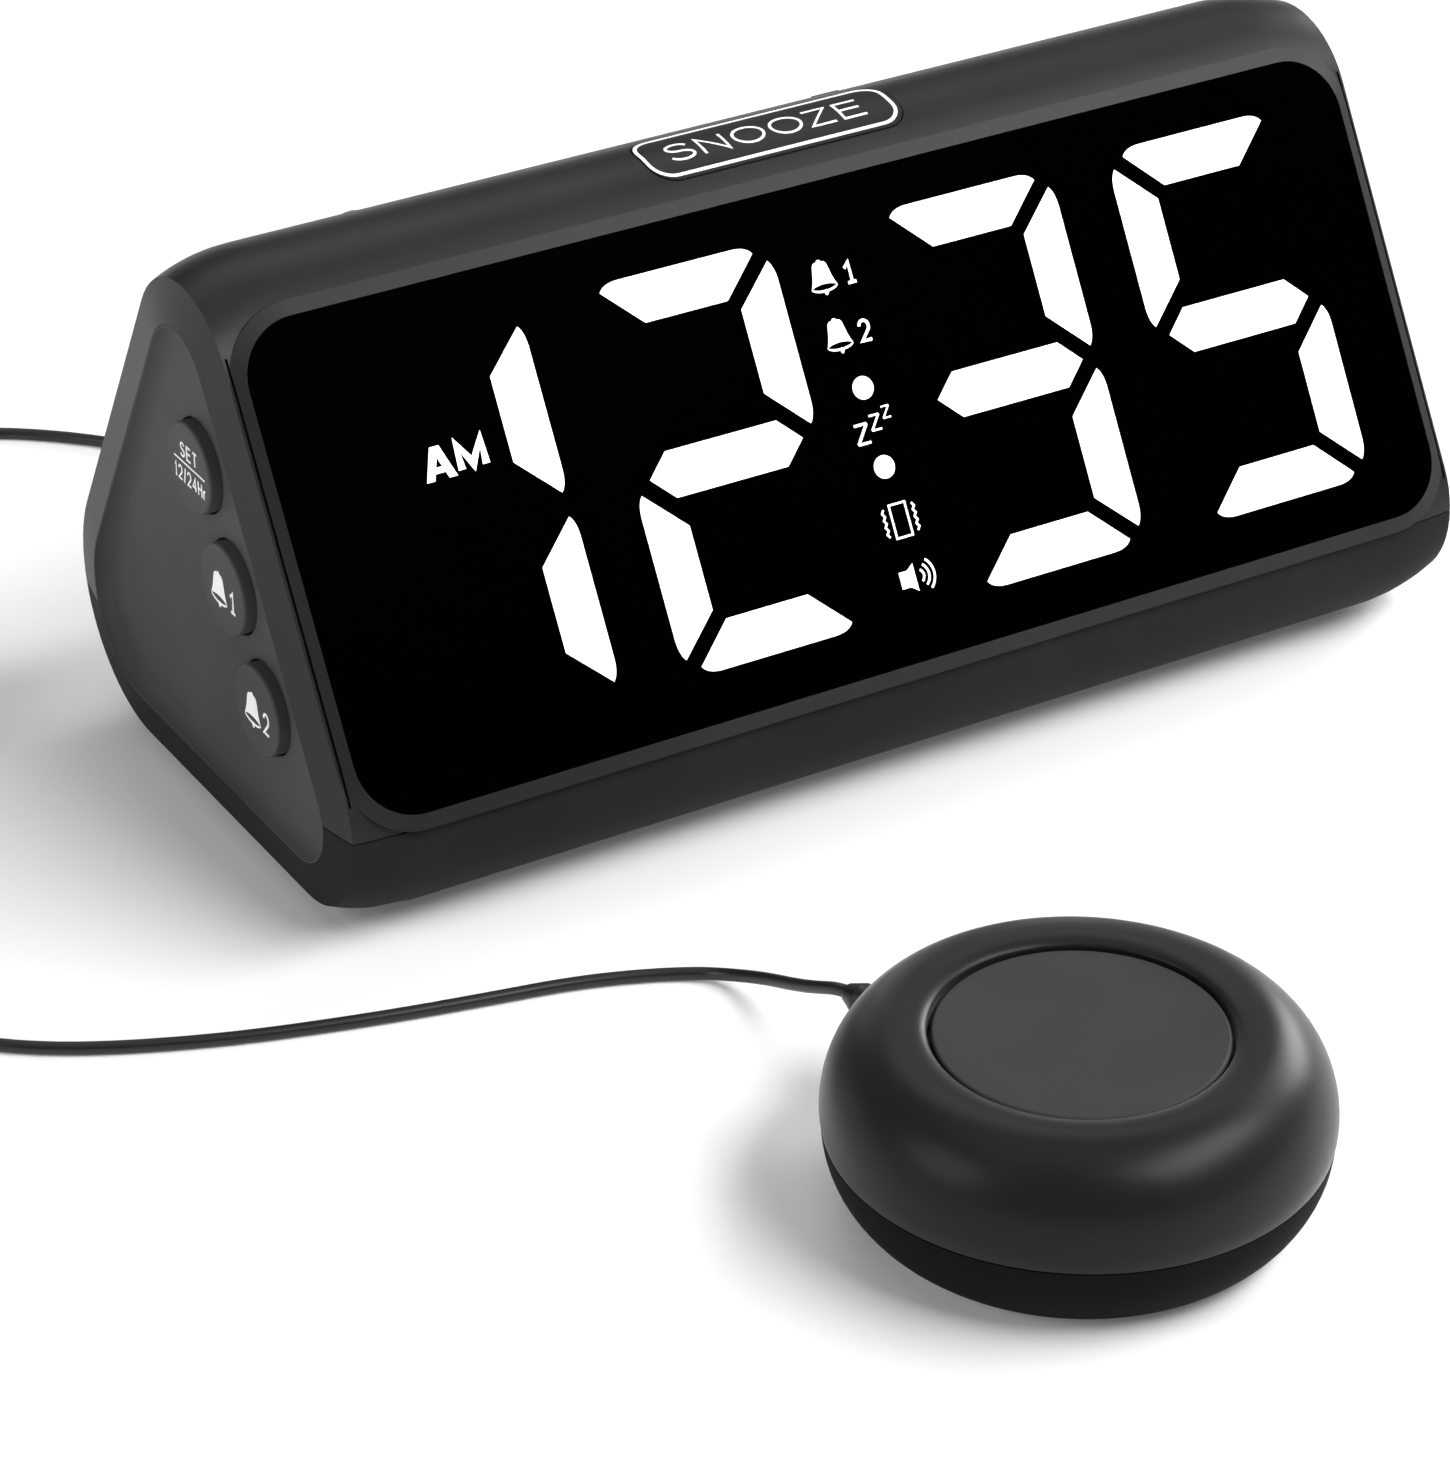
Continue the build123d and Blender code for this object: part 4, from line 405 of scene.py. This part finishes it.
# Each letter's lines, in a box one wide and one high
LETTERS = {
    "1": [[(0.1, 0.74), (0.6, 1), (0.6, 0)], [(0.15, 0), (1, 0)]],
    "2": [round_arc(0.5, 0.7, 0.48, 0.3, 170, -38, 16) + [(0, 0), (1, 0)]],
    "4": [[(0.74, 0), (0.74, 1), (0, 0.28), (1, 0.28)]],
    "/": [[(0, -0.08), (1, 1.08)]],
    "E": [[(1, 1), (0, 1), (0, 0), (1, 0)], [(0, 0.52), (0.92, 0.52)]],
    "H": [[(0, 0), (0, 1)], [(1, 0), (1, 1)], [(0, 0.52), (1, 0.52)]],
    "M": [[(0, 0), (0, 1), (0.5, 0.12), (1, 1), (1, 0)]],
    "N": [[(0, 0), (0, 1), (1, 0), (1, 1)]],
    "O": [ROUND],
    "S": [UPPER_S + LOWER_S[1:]],
    "T": [[(0, 1), (1, 1)], [(0.5, 1), (0.5, 0)]],
    "Z": [[(0.03, 1), (0.97, 1), (0, 0), (1, 0)]],
    "r": [[(0, 0), (0, 0.68)], bend((0, 0.36), (0.1, 0.66), (1, 0.68))],
}


def letter(sign, left, right, low, high, thick):
    """One letter in lines of even width, its outside filling the given bounds."""
    half = thick / 2
    wide = right - left - thick
    tall = high - low - thick
    shapes = []
    for line in LETTERS[sign]:
        shapes += stroke([(left + half + x * wide, low + half + y * tall) for x, y in line], thick)
    return shapes


def bold_a(left, right, low, high, foot, peak, bar_low, bar_high):
    """A bold capital A: two sloping legs with a flat peak, and a bar between them."""
    middle = (left + right) / 2
    slope = (middle - peak / 2 - left) / (high - low)
    inner = low + (middle - left - foot) / slope

    def inside(y):
        """Where the left leg's inner side is at a height."""
        return left + foot + (y - low) * slope

    leg = [(left, low), (left + foot, low), (middle, inner), (middle, high), (middle - peak / 2, high)]
    bar = [(inside(bar_low), bar_low), (2 * middle - inside(bar_low), bar_low)]
    bar += [(2 * middle - inside(bar_high), bar_high), (inside(bar_high), bar_high)]
    return [leg, [(2 * middle - x, y) for x, y in reversed(leg)], bar]


def word(text, middle, width, low, high, thick, gap):
    """A word of even letters about a middle, in which some letters are narrower."""
    sizes = [NARROW if sign in NARROW_SIGNS else 1.0 for sign in text]
    unit = (width - gap * (len(text) - 1)) / sum(sizes)
    left = middle - width / 2
    shapes = []
    for sign, size in zip(text, sizes):
        shapes += letter(sign, left, left + size * unit, low, high, thick)
        left += size * unit + gap
    return shapes


def bell(width, height):
    """A hand bell with a lip and a clapper, its foot on the x axis."""
    dome = [(0, 1.0), (0.12, 0.985), (0.16, 0.945), (0.4, 0.925), (0.53, 0.86), (0.6, 0.74), (0.72, 0.5)]
    dome += [(0.86, 0.32), (0.98, 0.21)]
    brim = bend((0.98, 0.21), (0.6, 0.3), (0, 0.3))
    right = dome + brim[1:]
    outline = right + mirrored(right)[1:-1]
    lip = bend((-1, 0.2), (-0.85, 0.08), (0, 0.06)) + bend((0, 0.06), (0.85, 0.08), (1, 0.2))[1:]
    lip += bend((0.9, 0.2), (0.5, 0.13), (0, 0.13)) + bend((0, 0.13), (-0.5, 0.13), (-0.9, 0.2))[1:]
    clapper = round_arc(0.05, 0.06, 0.13, 0.085, 0, 360)[:-1]
    return [[(x * width / 2, y * height) for x, y in shape] for shape in (outline, lip, clapper)]


def solid_print(name, shapes, place, finish, body, slices=None):
    """Thin raised print, carried onto a surface by place(x, y, lift), in strips where that is curved."""
    flat = bmesh.new()
    for outline in shapes:
        flat.faces.new([flat.verts.new((x, y, 0)) for x, y in outline])
    bmesh.ops.remove_doubles(flat, verts=flat.verts, dist=1e-4)
    if slices:
        low = min(v.co.y for v in flat.verts)
        high = max(v.co.y for v in flat.verts)
        for step in range(1, int((high - low) / slices) + 1):
            geometry = flat.verts[:] + flat.edges[:] + flat.faces[:]
            cut = (0, low + step * slices, 0)
            bmesh.ops.bisect_plane(flat, geom=geometry, plane_co=cut, plane_no=(0, 1, 0))
    bmesh.ops.triangulate(flat, faces=flat.faces[:])
    bmesh.ops.recalc_face_normals(flat, faces=flat.faces[:])
    flat.verts.index_update()
    spots = [tuple(v.co[:2]) for v in flat.verts]
    faces = [[v.index for v in face.verts] for face in flat.faces]
    flat.free()
    count = len(spots)
    walked = {(face[i - 1], face[i]) for face in faces for i in range(len(face))}
    rims = [(a, b) for a, b in walked if (b, a) not in walked]
    corners = [place(x, y, PRINT_LIFT) * MM for x, y in spots]
    corners += [place(x, y, PRINT_LIFT + PRINT_T) * MM for x, y in spots]
    skins = [face[::-1] for face in faces] + [[i + count for i in face] for face in faces]
    skins += [[a, b, b + count, a + count] for a, b in rims]
    mesh = bpy.data.meshes.new(name)
    mesh.from_pydata(corners, [], skins)
    tidy = bmesh.new()
    tidy.from_mesh(mesh)
    bmesh.ops.recalc_face_normals(tidy, faces=tidy.faces[:])
    tidy.to_mesh(mesh)
    tidy.free()
    mesh.materials.append(finish)
    made = link(name, mesh)
    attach(made, body)


def reach(node, way):
    """The least and the greatest distance of a node along a direction, in millimetres."""
    spans = [v.co.dot(way) / MM for v in nodes[node].data.vertices]
    return min(spans), max(spans)


# The lit display: seven-bar digits and its signs, just proud of the lens
lens_low, lens_high = reach("display_lens", UP)
lens_face = reach("display_lens", OUT)[1]


def on_lens(x, y, lift):
    """A point of the display: x along the clock, y up from the lens's middle."""
    return ALONG * x + UP * ((lens_low + lens_high) / 2 + y) + OUT * (lens_face + lift)


BAR_TOP = bend((12.15, 26.5), (11.4, 27.65), (9.2, 27.7))
BAR_TOP += bend((-9.2, 27.7), (-11.4, 27.65), (-12.15, 26.5)) + [(-6.55, 21.05), (6.55, 21.05)]
BAR_MIDDLE = [(12.25, 0.05), (8.9, 3.35), (-8.9, 3.35), (-12.25, 0.05), (-8.9, -3.25), (8.9, -3.25)]
BAR_SIDE = [(8.25, 7.4), (14.1, 1.7)] + bend((14.1, 1.7), (14.95, 2.6), (15.0, 4.6))[1:]
BAR_SIDE += bend((15.0, 22.0), (14.95, 24.1), (14.1, 25.0)) + [(8.25, 19.4)]
BARS = {
    "a": BAR_TOP,
    "b": BAR_SIDE,
    "c": upside_down(BAR_SIDE),
    "d": upside_down(BAR_TOP),
    "e": upside_down(mirrored(BAR_SIDE)),
    "f": mirrored(BAR_SIDE),
    "g": BAR_MIDDLE,
}
DIGIT_Y = 0.3
SHOWN = ((-63.0, "bc"), (-23.4, "abged"), (23.4, "abgcd"), (63.0, "afgcd"))
digits = [outline for x, bars in SHOWN for outline in moved([BARS[bar] for bar in bars], x, DIGIT_Y)]
solid_print("lit_digits", digits, on_lens, digit_light, "clock")

# The signs in the middle column and the morning sign, with heights up from ICON_BASE
ICON_BASE = -34.6
DOT_X = 0.1
DOT_R = 1.66
DOT_HEIGHTS = (39.4, 27.95)
BELL_X = -1.6
BELL_SIZE = (4.25, 4.95)
BELL_FEET = (("1", 53.3), ("2", 44.9))
NUMBER_X = 2.75
NUMBER_RISE = 2.2
NUMBER_BOX = (-1.0, 1.0, -1.65, 1.65)
NUMBER_LINE = 0.45
MORNING = (-63.0, ICON_BASE + 44.9)
MORNING_A = (-4.9, -0.2, -2.3, 2.3, 1.25, 1.4, -1.4, -0.55)
MORNING_M = (0.1, 4.9, -2.3, 2.3, 1.1)
SLEEP_SIGNS = ((-1.9, 33.15, 2.7), (0.55, 34.3, 2.1), (2.6, 35.35, 1.65))
SLEEP_HALF = 0.38
SLEEP_FLAT = 0.14
SLEEP_SLOPE = 0.15
SHAKE = (0.4, ICON_BASE + 20.15)
SHAKE_BOX = [(-1.3, -2.4), (1.3, -2.4), (1.3, 2.4), (-1.3, 2.4)]
SHAKE_LINE = 0.3
SHAKE_REACH = 2.3
SHAKE_WAVE = 0.34
SHAKE_TOP = 2.0
SHAKE_STEP = 0.5
SHAKE_KNOTS = 9
SOUND_Y = ICON_BASE + 11.9
SOUND_X = 0.2
SOUND_LINE = 0.33
SOUND_WAVES = ((1.0, 55), (1.85, 52), (2.7, 50))
HORN = [(-2.15, -1.2), (-0.75, -1.2), (0.35, -2.0), (0.35, 2.0), (-0.75, 1.2), (-2.15, 1.2)]
signs = []
for height in DOT_HEIGHTS:
    signs += disc(DOT_X, ICON_BASE + height, DOT_R)
for number, foot in BELL_FEET:
    signs += moved(bell(*BELL_SIZE), BELL_X, ICON_BASE + foot)
    signs += moved(letter(number, *NUMBER_BOX, NUMBER_LINE), NUMBER_X, ICON_BASE + foot + NUMBER_RISE)
signs += moved(bold_a(*MORNING_A), *MORNING)
signs += moved(letter("M", *MORNING_M), *MORNING)
for x, y, size in SLEEP_SIGNS:
    half = SLEEP_HALF * size
    rise = size / 2
    way = [(-half, rise), (half, rise), (-half, -rise), (half, -rise)]
    lines = stroke(way[:2], SLEEP_FLAT * size) + stroke(way[1:3], SLEEP_SLOPE * size)
    signs += moved(lines + stroke(way[2:], SLEEP_FLAT * size), x, ICON_BASE + y)
signs += moved(stroke(SHAKE_BOX, SHAKE_LINE, True), *SHAKE)
for side in (-1, 1):
    shake = []
    for step in range(SHAKE_KNOTS):
        shake.append((side * (SHAKE_REACH + SHAKE_WAVE * (step % 2)), SHAKE_TOP - step * SHAKE_STEP))
    signs += moved(stroke(shake, SHAKE_LINE), *SHAKE)
signs += moved([HORN], 0.0, SOUND_Y)
for radius, half in SOUND_WAVES:
    wave = round_arc(0.5, 0, radius, radius, -half, half, 12)
    signs += moved(stroke(wave, SOUND_LINE), SOUND_X, SOUND_Y)
solid_print("display_signs", signs, on_lens, digit_light, "clock")

# Printed frame and word on the snooze bar, wrapped round the ridge
SNOOZE_LEAN = radians(-7.0)


def on_ridge(x, y, lift):
    """A point of the snooze bar: x along the clock, y back from the middle of the bar round the ridge."""
    turn = SNOOZE_LEAN + y / RIDGE_R
    height = RIDGE_R + SNOOZE_PROUD + lift
    return Vector((x, RIDGE_Y + height * sin(turn), RIDGE_Z + height * cos(turn)))


MARK_MIDDLE = -0.3
MARK_X = 20.0
MARK_Y = 4.7
MARK_R = 3.2
MARK_LINE = 0.55
LETTER_LOW = -2.3
LETTER_HIGH = 1.9
LETTER_LINE = 0.43
STRIP = 0.5
mark_line = []
for x, y, first in ((1, 1, 0), (-1, 1, 90), (-1, -1, 180), (1, -1, 270)):
    turn_x = MARK_MIDDLE + x * (MARK_X - MARK_R)
    mark_line += round_arc(turn_x, y * (MARK_Y - MARK_R), MARK_R, MARK_R, first, first + 90, 8)
snooze_mark = stroke(mark_line, MARK_LINE, True)
SNOOZE_LETTERS = (
    ("S", -16.7, -12.45),
    ("N", -11.4, -7.15),
    ("O", -6.05, -0.85),
    ("O", 0.1, 5.3),
    ("Z", 6.0, 10.3),
    ("E", 11.25, 15.35),
)
for sign, left, right in SNOOZE_LETTERS:
    snooze_mark += letter(sign, left, right, LETTER_LOW, LETTER_HIGH, LETTER_LINE)
solid_print("snooze_mark", snooze_mark, on_ridge, print_white_painted_glow, "snooze", slices=STRIP)

# Printed marks on the end buttons
BUTTON_BELL = (4.9, 5.4)
BUTTON_NUMBER = (2.1, 4.0, -2.35, 1.15, 0.42)
SUN_R = 1.25
RAY_START = 2.0
RAY_END = 3.1
RAY_LINE = 0.45
RAY_COUNT = 8
set_mark = word("SET", middle=0.25, width=5.2, low=1.05, high=3.35, thick=0.3, gap=0.45)
set_mark += word("12/24Hr", middle=0.4, width=9.5, low=-2.8, high=-0.5, thick=0.28, gap=0.35)
set_mark += stroke([(-4.4, 0.33), (5.0, 0.33)], 0.25)
MARKS = {"set": set_mark}
for name, number in (("alarm_one", "1"), ("alarm_two", "2")):
    MARKS[name] = moved(bell(*BUTTON_BELL), -1.1, -3.0) + letter(number, *BUTTON_NUMBER)
arrow = [(-2.6, -1.3), (2.6, -1.3), (0, 2.2)]
MARKS["up"] = [arrow]
MARKS["down"] = [upside_down(arrow)]
sun = disc(0, 0, SUN_R)
for step in range(RAY_COUNT):
    turn = 2 * pi * step / RAY_COUNT
    sun += stroke([(far * cos(turn), far * sin(turn)) for far in (RAY_START, RAY_END)], RAY_LINE)
MARKS["dimmer"] = sun
for name, shapes in MARKS.items():
    low, high = (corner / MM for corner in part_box(f"{name}_button"))
    side = -1 if low.x < 0 else 1
    middle = Vector((low.x if side < 0 else high.x, (low.y + high.y) / 2, (low.z + high.z) / 2))

    def on_button(x, y, lift, side=side, middle=middle):
        """A point of a button's face: x to the right as it is read, y up."""
        return middle + Vector((side * lift, side * x, y))

    solid_print(f"{name}_mark", shapes, on_button, print_white_painted_glow, f"{name}_press_body")

# Floor, surroundings and light, in metres
FLOOR = 12.0
GLOW_START = 0.6
GLOW_FULL = 1.6
FLOOR_LIFT = 0.1
BAND_TOP = 0.13
BAND_FULL = 0.06
SKY_LIGHT = 0.03
AIM = Vector((0, -0.05, 0.03))
# Each lamp's place, width, height and power
LAMPS = {
    "key": ((0.52, -0.64, 1.0), 1.1, 0.5, 18.2),
    "top": ((-0.3, 0, 1.5), 1.0, 1.0, 2.4),
    "right": ((1.2, 0.35, 0.45), 0.6, 0.4, 12.6),
    "behind": ((0.35, 0.8, 1.15), 0.8, 0.5, 2.8),
    "left": ((-1.1, 0.0, 0.6), 0.6, 0.6, 4.2),
}


def seen_rays(tree):
    """1 where the camera, a reflection or a view through glass looks, and 0 for diffuse light."""
    rays = tree.nodes.new("ShaderNodeLightPath")
    found = rays.outputs["Is Camera Ray"]
    for kind in ("Is Glossy Ray", "Is Transmission Ray"):
        either = tree.nodes.new("ShaderNodeMath")
        either.operation = "MAXIMUM"
        tree.links.new(found, either.inputs[0])
        tree.links.new(rays.outputs[kind], either.inputs[1])
        found = either.outputs["Value"]
    return found


def ramp(tree, source, start, full):
    """A value that rises from 0 at start to 1 at full, as its source goes from one to the other."""
    made = tree.nodes.new("ShaderNodeMapRange")
    made.inputs["From Min"].default_value = start
    made.inputs["From Max"].default_value = full
    tree.links.new(source, made.inputs["Value"])
    return made.outputs["Result"]


# Far from the object the floor glows white, so that low views have no dark edge behind the object
floor_white = surface("floor_white", (0.9, 0.9, 0.9), 0.9, gloss=0.0, grain=3.0, bump=0.0, drift=0.005)
floor_tree = floor_white.node_tree
floor_shader = floor_tree.nodes["Principled BSDF"]
floor_shader.inputs["Emission Color"].default_value = (1, 1, 1, 1)
floor_spot = floor_tree.nodes.new("ShaderNodeTexCoord")
away = floor_tree.nodes.new("ShaderNodeVectorMath")
away.operation = "LENGTH"
floor_tree.links.new(floor_spot.outputs["Object"], away.inputs[0])
lift = floor_tree.nodes.new("ShaderNodeMath")
lift.operation = "MULTIPLY_ADD"
lift.inputs[1].default_value = FLOOR_LIFT
floor_tree.links.new(seen_rays(floor_tree), lift.inputs[0])
floor_tree.links.new(ramp(floor_tree, away.outputs["Value"], GLOW_START, GLOW_FULL), lift.inputs[2])
floor_tree.links.new(lift.outputs["Value"], floor_shader.inputs["Emission Strength"])
floor_mesh = bpy.data.meshes.new("floor")
floor_mesh.from_pydata(
    [(-FLOOR, -FLOOR, 0), (FLOOR, -FLOOR, 0), (FLOOR, FLOOR, 0), (-FLOOR, FLOOR, 0)], [], [(0, 1, 2, 3)]
)
floor_mesh.materials.append(floor_white)
floor = link("floor", floor_mesh)

# A band above the horizon is white to the camera and in reflections, and sheds no diffuse light
sky = bpy.data.worlds.new("studio")
sky.use_nodes = True
sky_tree = sky.node_tree
sky_shader = sky_tree.nodes["Background"]
sky_shader.inputs["Color"].default_value = (1, 1, 1, 1)
sky_spot = sky_tree.nodes.new("ShaderNodeTexCoord")
sky_axes = sky_tree.nodes.new("ShaderNodeSeparateXYZ")
sky_tree.links.new(sky_spot.outputs["Generated"], sky_axes.inputs["Vector"])
both = sky_tree.nodes.new("ShaderNodeMath")
both.operation = "MULTIPLY"
sky_tree.links.new(seen_rays(sky_tree), both.inputs[0])
sky_tree.links.new(ramp(sky_tree, sky_axes.outputs["Z"], BAND_TOP, BAND_FULL), both.inputs[1])
shine = sky_tree.nodes.new("ShaderNodeMapRange")
shine.inputs["To Min"].default_value = SKY_LIGHT
sky_tree.links.new(both.outputs["Value"], shine.inputs["Value"])
sky_tree.links.new(shine.outputs["Result"], sky_shader.inputs["Strength"])
bpy.context.scene.world = sky

for name, (place, width, height, power) in LAMPS.items():
    lamp = bpy.data.lights.new(name, "AREA")
    lamp.shape = "RECTANGLE"
    lamp.size = width
    lamp.size_y = height
    lamp.energy = power
    softbox = link(name, lamp)
    softbox.location = place
    softbox.rotation_euler = (AIM - Vector(place)).to_track_quat("-Z", "Y").to_euler()

bpy.context.view_layer.update()
